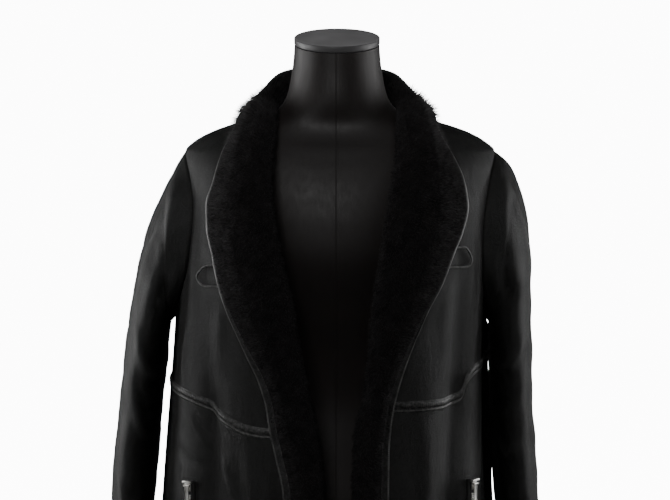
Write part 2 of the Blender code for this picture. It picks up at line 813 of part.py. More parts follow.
def make_loops(leather, home):
    for side, word in SIDES:
        ends = [(FREE_EDGE.at(side_column(side), z) + LOOP_END_GAP, z) for z in LOOP_ENDS[side]]
        places = [ends[0]] + LOOP_COURSE[side] + [ends[1]]
        course = [over_front(side, x, z, LOOP_OUT) for x, z in places]
        cord = bpy.data.curves.new("button_loop_" + word, "CURVE")
        cord.dimensions = "3D"
        cord.bevel_depth = LOOP_CORD / 2.0
        cord.bevel_resolution = 2
        cord.use_fill_caps = True
        points = smooth_course(course, 2)
        spline = cord.splines.new("POLY")
        spline.points.add(len(points) - 1)
        for slot, point in zip(spline.points, points):
            slot.co = (*point, 1.0)
        made = bpy.data.objects.new("button_loop_" + word, cord)
        cord.materials.append(leather)
        home.objects.link(made)


def smooth_course(points, parts):
    """Points on a Catmull-Rom curve through the given ones."""
    ends = [points[0] * 2.0 - points[1]] + points + [points[-1] * 2.0 - points[-2]]
    course = []
    for i in range(1, len(ends) - 2):
        a, b, c, d = ends[i - 1:i + 3]
        for k in range(parts):
            t = k / parts
            course.append(0.5 * ((2.0 * b) + (c - a) * t + (2.0 * a - 5.0 * b + 4.0 * c - d) * t * t
                                 + (3.0 * b - a - 3.0 * c + d) * t ** 3))
    course.append(points[-1])
    return course


# ---------------------------------------------------------------- pocket zips
ZIP_X = {RIGHT: 0.184, LEFT: 0.168}
ZIP_SEAT = 0.0007          # room under the flat tape on the curved panel
SLIDER_DEPTH = 0.0042
SLIDER_LENGTH = 0.010
LUG_THICK = 0.0014
PIN_RADIUS = 0.0006
EYE_RADIUS = 0.0016
EYE_BORE = 0.0009
SLIDER_LIFT = 0.0014       # the flat slider off the middle of the curved tape
HINGE_OUT = 0.0044         # the pull's axis off the tape's face
HINGE_BELOW_TOP = 0.0062


def zip_frame(side):
    """Axes of a pocket zip: across, out of the cloth and up, from its top middle."""
    z = ZIP_TOP_Z
    angle = angle_at_x(side, ZIP_X[side], z)
    out = normal_of(body_point, angle, z, side)
    out.z = 0.0
    out.normalize()
    up = Vector((0.0, 0.0, 1.0))
    across = up.cross(out)
    origin = body_point(side, angle, z, ZIP_SEAT + ZIP_THICK)
    return Matrix((
        (across.x, -out.x, up.x, origin.x),
        (across.y, -out.y, up.y, origin.y),
        (across.z, -out.z, up.z, origin.z),
        (0.0, 0.0, 0.0, 1.0),
    ))


def make_pocket_zips(tape, home):
    """Tape and teeth of each pocket zip, lying on the panel's own points."""
    for side, word in SIDES:
        under = []
        over = []
        for z in spread(ZIP_TOP_Z - ZIP_LENGTH, ZIP_TOP_Z, 9):
            low = []
            high = []
            for step in spread(-0.5, 0.5, 3):
                angle = angle_at_x(side, ZIP_X[side], z) + step * zip_turn(side)
                low.append(body_point(side, angle, z, ZIP_SEAT))
                high.append(body_point(side, angle, z, ZIP_SEAT + ZIP_THICK))
            under.append(low)
            over.append(high)
        sheet_solid("pocket_zip_" + word, under, over, tape, home)


def zip_turn(side):
    """The change of angle that covers the zip's width."""
    angle = angle_at_x(side, ZIP_X[side], ZIP_TOP_Z)
    here = plain_point(side, angle - 0.01, ZIP_TOP_Z)
    there = plain_point(side, angle + 0.01, ZIP_TOP_Z)
    return 0.02 * ZIP_WIDTH / (there - here).length


def box_mesh(work, centre, size):
    matrix = Matrix.Translation(centre) @ Matrix.Diagonal((*size, 1.0))
    bmesh.ops.create_cube(work, size=1.0, matrix=matrix)


def rod_mesh(work, centre, radius, length, sides):
    turn = Matrix.Rotation(math.pi / 2.0, 4, "Y")
    bmesh.ops.create_cone(work, cap_ends=True, segments=sides, radius1=radius, radius2=radius,
                          depth=length, matrix=Matrix.Translation(centre) @ turn)


def local_object(name, build, finish, home):
    mesh = bpy.data.meshes.new(name)
    work = bmesh.new()
    build(work)
    work.to_mesh(mesh)
    work.free()
    made = bpy.data.objects.new(name, mesh)
    if finish:
        made.data.materials.append(finish)
    home.objects.link(made)
    return made


def join_by_boolean(target, other, operation):
    other.hide_render = True
    other.display_type = "WIRE"
    cut = target.modifiers.new(other.name, "BOOLEAN")
    cut.operation = operation
    cut.solver = "EXACT"
    cut.object = other


def make_sliders(metal, home, cutters):
    """Slider with its cross bar, two lugs and a pin, and the pull tab that swings on the pin."""
    for side, word in SIDES:
        place = zip_frame(side)
        hinge_z = -HINGE_BELOW_TOP
        hinge = Vector((0.0, -HINGE_OUT, hinge_z))
        lift = SLIDER_LIFT
        lug_x = PULL_WIDTH / 2.0 + SEAM_GAP + LUG_THICK / 2.0
        plate_depth = HINGE_OUT - EYE_RADIUS - SEAM_GAP - lift - 0.0002

        def crown(work):
            box_mesh(work, (0.0, -lift - SLIDER_DEPTH / 2.0, -CROWN_HEIGHT / 2.0),
                     (CROWN_WIDTH, SLIDER_DEPTH, CROWN_HEIGHT))

        def plate(work):
            box_mesh(work, (0.0, -lift - plate_depth / 2.0, -CROWN_HEIGHT - SLIDER_LENGTH / 2.0 + 0.0005),
                     (0.0094, plate_depth, SLIDER_LENGTH + 0.001))

        def lug(work, at):
            box_mesh(work, (at, -lift - (HINGE_OUT + PIN_RADIUS) / 2.0, hinge_z),
                     (LUG_THICK, HINGE_OUT + PIN_RADIUS, 0.0026))

        def pin(work):
            rod_mesh(work, hinge, PIN_RADIUS, 2.0 * lug_x, 12)

        slider = local_object("zip_slider_" + word, crown, metal, home)
        pieces = [local_object("slider_plate_" + word, plate, None, cutters),
                  local_object("slider_lug_a_" + word, lambda w: lug(w, -lug_x), None, cutters),
                  local_object("slider_lug_b_" + word, lambda w: lug(w, lug_x), None, cutters),
                  local_object("slider_pin_" + word, pin, None, cutters)]
        for piece in pieces:
            join_by_boolean(slider, piece, "UNION")
            piece.matrix_world = place
        slider.matrix_world = place

        def eye(work):
            rod_mesh(work, (0.0, 0.0, 0.0), EYE_RADIUS, PULL_WIDTH, 16)

        def tab(work):
            start = (EYE_BORE + EYE_RADIUS) / 2.0
            box_mesh(work, (0.0, 0.0, -(start + PULL_LENGTH) / 2.0),
                     (PULL_WIDTH, PULL_THICK, PULL_LENGTH - start))

        def bore(work):
            rod_mesh(work, (0.0, 0.0, 0.0), EYE_BORE, PULL_WIDTH * 2.0, 16)

        pull = local_object("zip_pull_" + word, eye, metal, home)
        tab_piece = local_object("pull_tab_" + word, tab, None, cutters)
        bore_piece = local_object("pull_bore_" + word, bore, None, cutters)
        join_by_boolean(pull, tab_piece, "UNION")
        join_by_boolean(pull, bore_piece, "DIFFERENCE")
        at_hinge = place @ Matrix.Translation(hinge)
        for piece in (pull, tab_piece, bore_piece):
            piece.matrix_world = at_hinge


# ---------------------------------------------------------------- the dress form
def form_ring(z, width, front, back, power, count=36):
    ring = []
    bend = 2.0 / power
    for i in range(count):
        turn = 2.0 * math.pi * i / count
        depth = -front if math.cos(turn) >= 0.0 else back
        ring.append(Vector((width * bent_power(math.sin(turn), bend),
                            depth * abs(math.cos(turn)) ** bend, z)))
    return ring


def neck_ring(z, width, depth, tilt, count=36):
    ring = []
    for i in range(count):
        turn = 2.0 * math.pi * i / count
        y = -depth * math.cos(turn)
        ring.append(Vector((width * math.sin(turn), y * math.cos(tilt), z + y * math.sin(tilt))))
    return ring


def make_form(satin, home):
    rings = [form_ring(*row) for row in FORM.rows]
    for z, front in FORM_SHOULDER.rows:
        width = min(BODY.at("left", z), BODY.at("right", z)) - 0.001
        back = BODY.at("back", z) * 0.97
        rings.append(form_ring(z - SHOULDER_DROP, width, front, back, BODY.at("power", z)))
    for z, width, depth, share in NECK.rows:
        rings.append(neck_ring(z, width, depth, NECK_TILT * share))
    swept_solid("form_torso", rings, satin, home)


def make_cap(plastic, home):
    """The flat cap of the neck, tilted with it."""
    bpy.ops.mesh.primitive_cylinder_add(vertices=48, radius=CAP_RADIUS, depth=CAP_THICK)
    cap = bpy.context.object
    cap.name = "form_neck_cap"
    top = Vector((0.0, 0.0, CAP_TOP_Z))
    turn = Matrix.Rotation(NECK_TILT, 4, "X")
    cap.matrix_world = Matrix.Translation(top) @ turn @ Matrix.Translation((0, 0, -CAP_THICK / 2.0))
    finish_round(cap, 0.0012, plastic, home)


def finish_round(made, bevel_width, finish, home):
    made.data.materials.append(finish)
    bevel = made.modifiers.new("edge", "BEVEL")
    bevel.width = bevel_width
    bevel.segments = 2
    bevel.limit_method = "ANGLE"
    made.data.shade_smooth()
    made.data.set_sharp_from_angle(angle=math.radians(40.0))
    for old in made.users_collection:
        old.objects.unlink(made)
    home.objects.link(made)


def make_stand(metal, home):
    """The weighted round base and the short pole that carries the form."""
    bpy.ops.mesh.primitive_cylinder_add(vertices=64, radius=BASE_RADIUS, depth=BASE_THICK,
                                        location=(0.0, 0.0, BASE_THICK / 2.0))
    base = bpy.context.object
    base.name = "form_base"
    finish_round(base, 0.002, metal, home)
    low = BASE_THICK + SEAM_GAP
    high = FORM_BOTTOM_Z - SEAM_GAP
    bpy.ops.mesh.primitive_cylinder_add(vertices=32, radius=POLE_RADIUS, depth=high - low,
                                        location=(0.0, 0.0, (high + low) / 2.0))
    pole = bpy.context.object
    pole.name = "form_pole"
    finish_round(pole, 0.001, metal, home)


# ---------------------------------------------------------------- the whole object
def main():
    for old in list(bpy.data.objects):
        bpy.data.objects.remove(old, do_unlink=True)
    home = collection("shearling_jacket")
    cutters = collection("cutters")
    leather = material("black_leather", (0.012, 0.012, 0.012), 0.42)
    fur = material("black_fur", (0.004, 0.004, 0.004), 0.95)
    satin = material("black_satin", (0.010, 0.009, 0.009), 0.50)
    plastic = material("grey_black_cap", (0.030, 0.030, 0.030), 0.45)
    nickel = material("bright_nickel", (0.80, 0.79, 0.76), 0.18, 1.0)
    painted = material("black_paint", (0.012, 0.012, 0.012), 0.45)
    tape = material("zip_tape", (0.008, 0.008, 0.008), 0.80)

    make_stand(painted, home)
    make_form(satin, home)
    make_cap(plastic, home)
    make_back(leather, home)
    make_fronts(leather, home)
    make_seam_bands(leather, home)
    make_sleeves(leather, home)
    make_collar(leather, fur, home)
    make_front_fur(fur, home)
    make_bindings(leather, home)
    make_loops(leather, home)
    make_pocket_zips(tape, home)
    make_sliders(nickel, home, cutters)


main()
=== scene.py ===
"""Shearling leather jacket, open, on a limbless counter-top dress form.

Metres, +Z up. The front faces -Y, so the wearer's left is at +X. Every leather panel is
worked out again, finely, from the section tables of the garment, so each piece lies on the
form of its own CAD solid. Fur is a rounded pile with blades standing on it.
"""

import json
import math

import bmesh
import bpy
import numpy as np
from bpy.props import FloatProperty, FloatVectorProperty, IntProperty, PointerProperty
from mathutils import Matrix, Vector


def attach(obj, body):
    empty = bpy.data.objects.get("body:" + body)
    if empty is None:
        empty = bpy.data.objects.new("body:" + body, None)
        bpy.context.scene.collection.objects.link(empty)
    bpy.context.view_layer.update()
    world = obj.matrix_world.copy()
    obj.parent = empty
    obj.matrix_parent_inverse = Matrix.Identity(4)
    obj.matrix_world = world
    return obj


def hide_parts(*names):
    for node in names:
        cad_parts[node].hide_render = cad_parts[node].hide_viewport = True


bl_info = {
    "name": "Shearling Jacket",
    "version": (1, 0, 0),
    "blender": (4, 5, 0),
    "location": "View3D > Sidebar > Jacket",
    "description": "Builds an open shearling leather jacket on a dress form",
    "category": "Object",
}

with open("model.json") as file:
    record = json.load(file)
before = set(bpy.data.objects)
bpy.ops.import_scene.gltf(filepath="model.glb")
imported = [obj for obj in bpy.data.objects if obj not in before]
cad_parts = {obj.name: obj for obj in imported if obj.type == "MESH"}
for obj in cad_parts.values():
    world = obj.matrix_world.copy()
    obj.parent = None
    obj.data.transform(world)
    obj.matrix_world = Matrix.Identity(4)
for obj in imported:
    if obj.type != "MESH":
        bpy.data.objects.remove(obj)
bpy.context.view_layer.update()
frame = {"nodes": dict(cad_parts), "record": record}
MAIN_BODY = "jacket_and_form"

# ---------------------------------------------------------------- sizes, as in the CAD
LEATHER = 0.003
COLLAR_LEATHER = 0.0025
SEAM_GAP = 0.0003
EDGE_STEP = 0.0006
HEM_Z = 0.160
NECK_Z = 0.866
ARMHOLE_LOW_Z = 0.600
ARMHOLE_TOP_Z = 0.819
ARMHOLE_FRONT = 0.078
ARMHOLE_BACK = 0.060
ARMHOLE_POWER = 2.1
LAPEL_STANDOFF = 0.0042
FUR_GAP = 0.0005
FUR_REACH = 0.010
FUR_EDGE_REACH = 0.006
FRONT_FUR_REACH = 0.008
FRONT_FUR_TOP_Z = 0.790
BINDING_THICK = 0.0056
BAND_HEIGHT = 0.014
BAND_DROP = 0.0015
BAND_THICK = 0.0012
LOOP_CORD = 0.0026
LOOP_OUT = 0.0032
SHOULDER_DROP = 0.0043
NECK_TILT = math.radians(12.0)
CAP_RADIUS = 0.0556
CAP_TOP_Z = 0.9655
ZIP_TOP_Z = 0.406
ZIP_LENGTH = 0.150
ZIP_WIDTH = 0.014
ZIP_THICK = 0.0018
ZIP_SEAT = 0.0007
CROWN_WIDTH = 0.0135
CROWN_HEIGHT = 0.0034
SLIDER_WIDTH = 0.0094
SLIDER_DEPTH = 0.0042
SLIDER_LENGTH = 0.010
SLIDER_LIFT = 0.0014
LUG_THICK = 0.0014
LUG_HEIGHT = 0.0026
PIN_RADIUS = 0.0006
EYE_RADIUS = 0.0016
EYE_BORE = 0.0009
PULL_WIDTH = 0.0052
PULL_LENGTH = 0.024
PULL_THICK = 0.0014
HINGE_OUT = 0.0044
HINGE_BELOW_TOP = 0.0062
HINGE_PLACE = Matrix.Translation((0.0, -HINGE_OUT, -HINGE_BELOW_TOP))

# ---------------------------------------------------------------- sizes of drawn details
EDGE_SPACING = 0.0009      # between the first two rows of points at a cut edge
WEAR_REACH = 0.004         # how far from a cut edge the leather is rubbed
SEAM_ROUNDS = 8            # rounds that bring a grid's rows onto the curved seam
SWEPT_SHARP = math.radians(50.0)
METAL_SHARP = math.radians(40.0)
STITCH_SHARE = 0.76        # of the pitch that a stitch's thread fills
SEAM_MARGIN = 0.0032
SHOULDER_MARGIN = 0.0036
HEM_MARGIN = 0.024
PUCKER_PITCH = 0.0027
CORD_SIDES = 14
ZIP_CHANNEL = 0.30         # share of the tape's thickness left under the teeth
# The tape's section from one edge to its middle: place across and share of the thickness.
ZIP_SECTION = ((-0.5, 0.55), (-0.44, 0.85), (-0.32, 0.95), (-0.20, 0.72), (-0.11, 0.38),
               (0.0, ZIP_CHANNEL))
ZIP_STITCH_SHARE = 0.68    # of the tape's width, from its middle to the stitches
ZIP_STITCH_MARGIN = 0.004
TOOTH_SIZE = (0.0030, 0.0011, 0.0012)
TOOTH_PITCH = 0.0011
TOOTH_ASIDE = 0.075        # share of the tape's width between the middle and a tooth
TEETH_BELOW_TOP = 0.019
TEETH_ABOVE_FOOT = 0.003
ZIP_STOP_SIZE = (0.0062, 0.0016, 0.0030)
ZIP_STOP_HEIGHT = 0.0035
PULL_SHOULDER = 0.0020
PULL_FOOT_POINTS = 35
# The tab's section, from its sunk face out to its edge: scale across, trim and depth.
PULL_SECTION = ((0.60, 0.0012, 0.00030), (0.72, 0.0008, 0.00018), (0.80, 0.0004, 0.0),
                (0.93, 0.0001, 0.0), (1.0, 0.0, 0.00022))
# The eye's section: place across in half widths, and radius.
EYE_SECTION = ((-1.0, EYE_BORE), (-1.0, EYE_RADIUS - 0.00025), (-0.9, EYE_RADIUS),
               (0.9, EYE_RADIUS), (1.0, EYE_RADIUS - 0.00025), (1.0, EYE_BORE))

RIGHT = -1
LEFT = 1
SIDES = ((RIGHT, "right"), (LEFT, "left"))


# ---------------------------------------------------------------- section tables
class Table:
    """Rows of numbers under named columns, read smoothly by the first column."""

    def __init__(self, columns, rows):
        self.columns = columns.split()
        self.rows = np.array(sorted(rows), dtype=float)

    def at(self, column, key):
        """Values of a column at an array of keys, keeping the rows' rises and falls."""
        keys = self.rows[:, 0]
        values = self.rows[:, self.columns.index(column)]
        steps = np.diff(keys)
        slopes = np.diff(values) / steps
        tangents = np.zeros(len(keys))
        tangents[0] = slopes[0]
        tangents[-1] = slopes[-1]
        for i in range(1, len(keys) - 1):
            if slopes[i - 1] * slopes[i] > 0.0:
                before = 2.0 * steps[i] + steps[i - 1]
                after = steps[i] + 2.0 * steps[i - 1]
                tangents[i] = (before + after) / (before / slopes[i - 1] + after / slopes[i])
        key = np.clip(np.asarray(key, dtype=float), keys[0], keys[-1])
        low = np.clip(np.searchsorted(keys, key, side="right") - 1, 0, len(keys) - 2)
        t = (key - keys[low]) / steps[low]
        start = (1.0 + 2.0 * t) * (1.0 - t) ** 2 * values[low]
        end = t * t * (3.0 - 2.0 * t) * values[low + 1]
        leave = t * (1.0 - t) ** 2 * steps[low] * tangents[low]
        arrive = t * t * (t - 1.0) * steps[low] * tangents[low + 1]
        return start + end + leave + arrive


BODY = Table("z right left front back power", [
    (0.160, 0.240, 0.216, 0.168, 0.152, 2.3),
    (0.300, 0.236, 0.205, 0.160, 0.146, 2.3),
    (0.400, 0.229, 0.198, 0.154, 0.141, 2.4),
    (0.480, 0.222, 0.193, 0.150, 0.137, 2.4),
    (0.560, 0.214, 0.192, 0.148, 0.133, 2.5),
    (0.625, 0.209, 0.195, 0.147, 0.130, 2.5),
    (0.685, 0.204, 0.200, 0.146, 0.128, 2.5),
    (0.740, 0.200, 0.205, 0.141, 0.124, 2.5),
    (0.775, 0.199, 0.207, 0.132, 0.118, 2.5),
    (0.800, 0.199, 0.207, 0.117, 0.108, 2.5),
    (0.819, 0.197, 0.205, 0.098, 0.099, 2.5),
    (0.831, 0.185, 0.192, 0.084, 0.092, 2.5),
    (0.842, 0.165, 0.172, 0.073, 0.087, 2.5),
    (0.852, 0.138, 0.144, 0.064, 0.082, 2.5),
    (0.860, 0.110, 0.113, 0.056, 0.078, 2.4),
    (0.866, 0.088, 0.089, 0.050, 0.075, 2.4),
])
FOLD_LINE = Table("z right left", [
    (0.160, 0.024, 0.026),
    (0.400, 0.025, 0.028),
    (0.477, 0.033, 0.031),
    (0.528, 0.044, 0.042),
    (0.585, 0.055, 0.048),
    (0.642, 0.064, 0.053),
    (0.692, 0.076, 0.061),
    (0.742, 0.085, 0.068),
    (0.785, 0.090, 0.076),
    (0.812, 0.089, 0.081),
    (0.834, 0.086, 0.083),
    (0.852, 0.082, 0.081),
    (0.866, 0.076, 0.077),
])
FREE_EDGE = Table("z right left", [
    (0.160, 0.058, 0.057),
    (0.400, 0.068, 0.0645),
    (0.450, 0.078, 0.0650),
    (0.480, 0.0845, 0.0670),
    (0.510, 0.0890, 0.0715),
    (0.540, 0.0980, 0.0790),
    (0.570, 0.1120, 0.0890),
    (0.600, 0.1255, 0.1005),
    (0.630, 0.1385, 0.1140),
    (0.660, 0.1480, 0.1300),
    (0.700, 0.1560, 0.1455),
    (0.725, 0.1615, 0.1560),
    (0.755, 0.1625, 0.1625),
    (0.785, 0.1540, 0.1580),
    (0.815, 0.1455, 0.1450),
    (0.836, 0.1360, 0.1330),
    (0.850, 0.1300, 0.1270),
])
LAPEL_FORM = Table("z binding crown", [
    (0.160, 0.0100, 0.003),
    (0.400, 0.0105, 0.004),
    (0.540, 0.0100, 0.005),
    (0.620, 0.0055, 0.006),
    (0.740, 0.0050, 0.010),
    (0.825, 0.0050, 0.009),
    (0.860, 0.0050, 0.004),
])
COLLAR = Table("station base_x base_y base_z edge_x edge_y edge_z crown", [
    (0, 0.0000, 0.0740, 0.8682, 0.0000, 0.1040, 0.9215, -0.003),
    (1, 0.0420, 0.0680, 0.8684, 0.0440, 0.0960, 0.9200, -0.003),
    (2, 0.0730, 0.0420, 0.8694, 0.0770, 0.0660, 0.9130, -0.002),
    (3, 0.0870, 0.0050, 0.8708, 0.0985, 0.0270, 0.8915, 0.001),
    (4, 0.0790, -0.0240, 0.8705, 0.1215, -0.0160, 0.8660, 0.006),
])
ROW_DIP = Table("z dip", [
    (0.160, 0.0000),
    (0.785, 0.0000),
    (0.819, 0.0040),
    (0.842, 0.0085),
    (0.860, 0.0110),
])
SEAM = {
    RIGHT: Table("x z", [
        (0.030, 0.476),
        (0.088, 0.476),
        (0.117, 0.480),
        (0.135, 0.488),
        (0.150, 0.495),
        (0.158, 0.504),
        (0.170, 0.509),
        (0.190, 0.516),
        (0.225, 0.522),
    ]),
    LEFT: Table("x z", [
        (0.030, 0.508),
        (0.075, 0.509),
        (0.130, 0.509),
        (0.150, 0.511),
        (0.158, 0.516),
        (0.164, 0.538),
        (0.172, 0.547),
        (0.200, 0.554),
    ]),
}
FOLDS = [
    # side, face (1 for the front, -1 for the back), top x, top z, hem x, half width, rise
    (RIGHT, 1, 0.158, 0.640, 0.150, 0.011, -0.0060),
    (RIGHT, 1, 0.186, 0.800, 0.196, 0.018, 0.0060),
    (RIGHT, 1, 0.112, 0.560, 0.104, 0.022, 0.0040),
    (LEFT, 1, 0.160, 0.760, 0.134, 0.011, -0.0070),
    (LEFT, 1, 0.180, 0.800, 0.164, 0.015, 0.0050),
    (LEFT, 1, 0.118, 0.620, 0.104, 0.020, 0.0040),
    (RIGHT, -1, 0.118, 0.760, 0.128, 0.022, 0.0080),
    (RIGHT, -1, 0.052, 0.560, 0.058, 0.020, -0.0060),
    (LEFT, -1, 0.096, 0.720, 0.112, 0.024, 0.0070),
    (LEFT, -1, 0.030, 0.600, 0.026, 0.022, 0.0050),
    (LEFT, -1, 0.150, 0.640, 0.158, 0.016, -0.0060),
]
SLEEVE = Table("ring outer_out outer_z right_drop inner_out inner_z depth middle_y", [
    (1, 0.011, 0.8080, 0.010, 0.0065, 0.5930, 0.0710, -0.006),
    (2, 0.022, 0.7920, 0.016, 0.0080, 0.5840, 0.0735, -0.002),
    (3, 0.033, 0.7680, 0.014, 0.0090, 0.5720, 0.0770, 0.003),
    (4, 0.044, 0.7350, 0.008, 0.0095, 0.5560, 0.0800, 0.008),
    (5, 0.053, 0.6920, 0.004, 0.0100, 0.5340, 0.0825, 0.012),
    (6, 0.060, 0.6380, 0.000, 0.0105, 0.5050, 0.0825, 0.015),
    (7, 0.065, 0.5760, 0.000, 0.0110, 0.4680, 0.0810, 0.016),
    (8, 0.067, 0.5090, 0.000, 0.0110, 0.4250, 0.0780, 0.016),
    (9, 0.068, 0.4410, 0.000, 0.0115, 0.3780, 0.0740, 0.012),
    (10, 0.068, 0.3750, 0.000, 0.0120, 0.3300, 0.0695, 0.006),
    (11, 0.067, 0.3120, 0.000, 0.0125, 0.2830, 0.0655, 0.000),
    (12, 0.066, 0.2580, 0.000, 0.0130, 0.2420, 0.0625, -0.004),
    (13, 0.065, 0.2240, 0.000, 0.0135, 0.2160, 0.0610, -0.007),
])
SLEEVE_RINGS = 13
FORM = Table("z width front back power", [
    (0.250, 0.158, 0.104, 0.104, 2.2),
    (0.262, 0.169, 0.113, 0.113, 2.2),
    (0.300, 0.173, 0.116, 0.117, 2.2),
    (0.360, 0.166, 0.110, 0.115, 2.2),
    (0.430, 0.144, 0.097, 0.104, 2.2),
    (0.500, 0.126, 0.086, 0.093, 2.2),
    (0.560, 0.128, 0.089, 0.093, 2.2),
    (0.620, 0.139, 0.101, 0.098, 2.2),
    (0.680, 0.151, 0.112, 0.103, 2.2),
    (0.730, 0.158, 0.109, 0.104, 2.2),
    (0.770, 0.166, 0.100, 0.099, 2.2),
    (0.795, 0.174, 0.090, 0.092, 2.2),
    (0.812, 0.174, 0.081, 0.088, 2.3),
    (0.826, 0.168, 0.073, 0.085, 2.3),
])
FORM_SHOULDER = Table("jacket_z front", [
    (0.842, 0.0640),
    (0.852, 0.0582),
    (0.860, 0.0535),
    (0.866, 0.0515),
])
NECK = Table("z width depth tilt_share", [
    (0.872, 0.0695, 0.0620, 0.10),
    (0.884, 0.0652, 0.0600, 0.30),
    (0.904, 0.0612, 0.0585, 0.60),
    (0.930, 0.0572, 0.0565, 0.90),
    (0.956, 0.0550, 0.0548, 1.00),
])
LOOP_COURSE = {
    RIGHT: [(0.1640, 0.6795), (0.1700, 0.6735), (0.1735, 0.6665),
            (0.1710, 0.6590), (0.1640, 0.6555)],
    LEFT: [(0.1580, 0.7045), (0.1625, 0.7000), (0.1658, 0.6930),
           (0.1668, 0.6855), (0.1630, 0.6800), (0.1540, 0.6797)],
}
LOOP_PLACE = (0.160, 0.685)  # where the cords take their outward direction
LOOP_ENDS = {RIGHT: (0.6835, 0.6565), LEFT: (0.7050, 0.6815)}
ZIP_X = {RIGHT: 0.184, LEFT: 0.168}

# The creases that are too fine for the CAD solids. Each row: side, face, x and z of the
# three places that it runs through, half width and rise.
CREASES = [
    (RIGHT, 1, 0.190, 0.500, 0.176, 0.470, 0.150, 0.452, 0.0060, 0.0018),
    (RIGHT, 1, 0.206, 0.455, 0.186, 0.432, 0.158, 0.424, 0.0070, -0.0016),
    (RIGHT, 1, 0.146, 0.468, 0.141, 0.420, 0.128, 0.392, 0.0055, 0.0022),
    (RIGHT, 1, 0.128, 0.462, 0.121, 0.410, 0.117, 0.340, 0.0080, -0.0016),
    (RIGHT, 1, 0.174, 0.770, 0.181, 0.690, 0.180, 0.600, 0.0090, 0.0022),
    (RIGHT, 1, 0.196, 0.790, 0.199, 0.720, 0.196, 0.640, 0.0060, -0.0018),
    (RIGHT, 1, 0.186, 0.600, 0.192, 0.560, 0.190, 0.520, 0.0060, 0.0020),
    (RIGHT, 1, 0.140, 0.640, 0.150, 0.590, 0.148, 0.520, 0.0100, 0.0016),
    (LEFT, 1, 0.181, 0.720, 0.177, 0.640, 0.170, 0.560, 0.0070, 0.0022),
    (LEFT, 1, 0.190, 0.700, 0.187, 0.620, 0.184, 0.540, 0.0055, -0.0016),
    (LEFT, 1, 0.140, 0.660, 0.139, 0.600, 0.136, 0.530, 0.0110, 0.0014),
    (LEFT, 1, 0.150, 0.500, 0.150, 0.440, 0.142, 0.330, 0.0090, 0.0016),
    (LEFT, 1, 0.102, 0.480, 0.100, 0.400, 0.098, 0.280, 0.0120, -0.0014),
    (LEFT, 1, 0.186, 0.500, 0.182, 0.450, 0.184, 0.380, 0.0060, 0.0020),
    (RIGHT, -1, 0.178, 0.600, 0.150, 0.560, 0.110, 0.548, 0.0080, 0.0024),
    (RIGHT, -1, 0.186, 0.570, 0.160, 0.525, 0.128, 0.512, 0.0070, -0.0020),
    (LEFT, -1, 0.180, 0.590, 0.150, 0.555, 0.100, 0.560, 0.0080, 0.0022),
    (LEFT, -1, 0.176, 0.540, 0.150, 0.500, 0.120, 0.494, 0.0070, 0.0018),
    (LEFT, -1, 0.070, 0.800, 0.082, 0.700, 0.086, 0.560, 0.0120, 0.0016),
    (RIGHT, -1, 0.086, 0.790, 0.090, 0.690, 0.082, 0.600, 0.0120, -0.0016),
    (RIGHT, -1, 0.160, 0.480, 0.168, 0.380, 0.176, 0.260, 0.0100, 0.0022),
    (LEFT, -1, 0.060, 0.470, 0.066, 0.360, 0.070, 0.220, 0.0110, 0.0020),
    (RIGHT, -1, 0.020, 0.480, 0.016, 0.380, 0.018, 0.250, 0.0100, 0.0018),
    (RIGHT, 1, 0.085, 0.440, 0.084, 0.360, 0.080, 0.240, 0.0100, 0.0016),
    (RIGHT, 1, 0.178, 0.380, 0.176, 0.300, 0.178, 0.200, 0.0090, -0.0018),
    (LEFT, 1, 0.1918, 0.590, 0.1983, 0.390, 0.2138, 0.185, 0.0160, 0.0064),
    (RIGHT, -1, 0.2070, 0.560, 0.2270, 0.370, 0.2360, 0.190, 0.0170, 0.0036),
    (RIGHT, -1, 0.110, 0.450, 0.118, 0.340, 0.128, 0.200, 0.0130, 0.0026),
    (LEFT, -1, 0.130, 0.430, 0.140, 0.330, 0.148, 0.200, 0.0120, 0.0026),
    (LEFT, 1, 0.1916, 0.597, 0.1934, 0.545, 0.1990, 0.385, 0.0140, 0.0040),
    (LEFT, 1, 0.1925, 0.592, 0.1930, 0.574, 0.1935, 0.556, 0.0100, 0.0022),
    (LEFT, 1, 0.1915, 0.600, 0.1919, 0.591, 0.1924, 0.582, 0.0100, 0.0025),
    (LEFT, 1, 0.1958, 0.475, 0.1985, 0.415, 0.2015, 0.350, 0.0120, 0.0023),
]
CREASE_GAIN = 1.5
CREASE_POINTS = 14
CREASE_REACH = 4.5         # half widths from a crease's course to where its lift is nothing
CREASE_SKIRT = (0.32, 2.3)  # depth and half width of the dips beside it, as shares of it
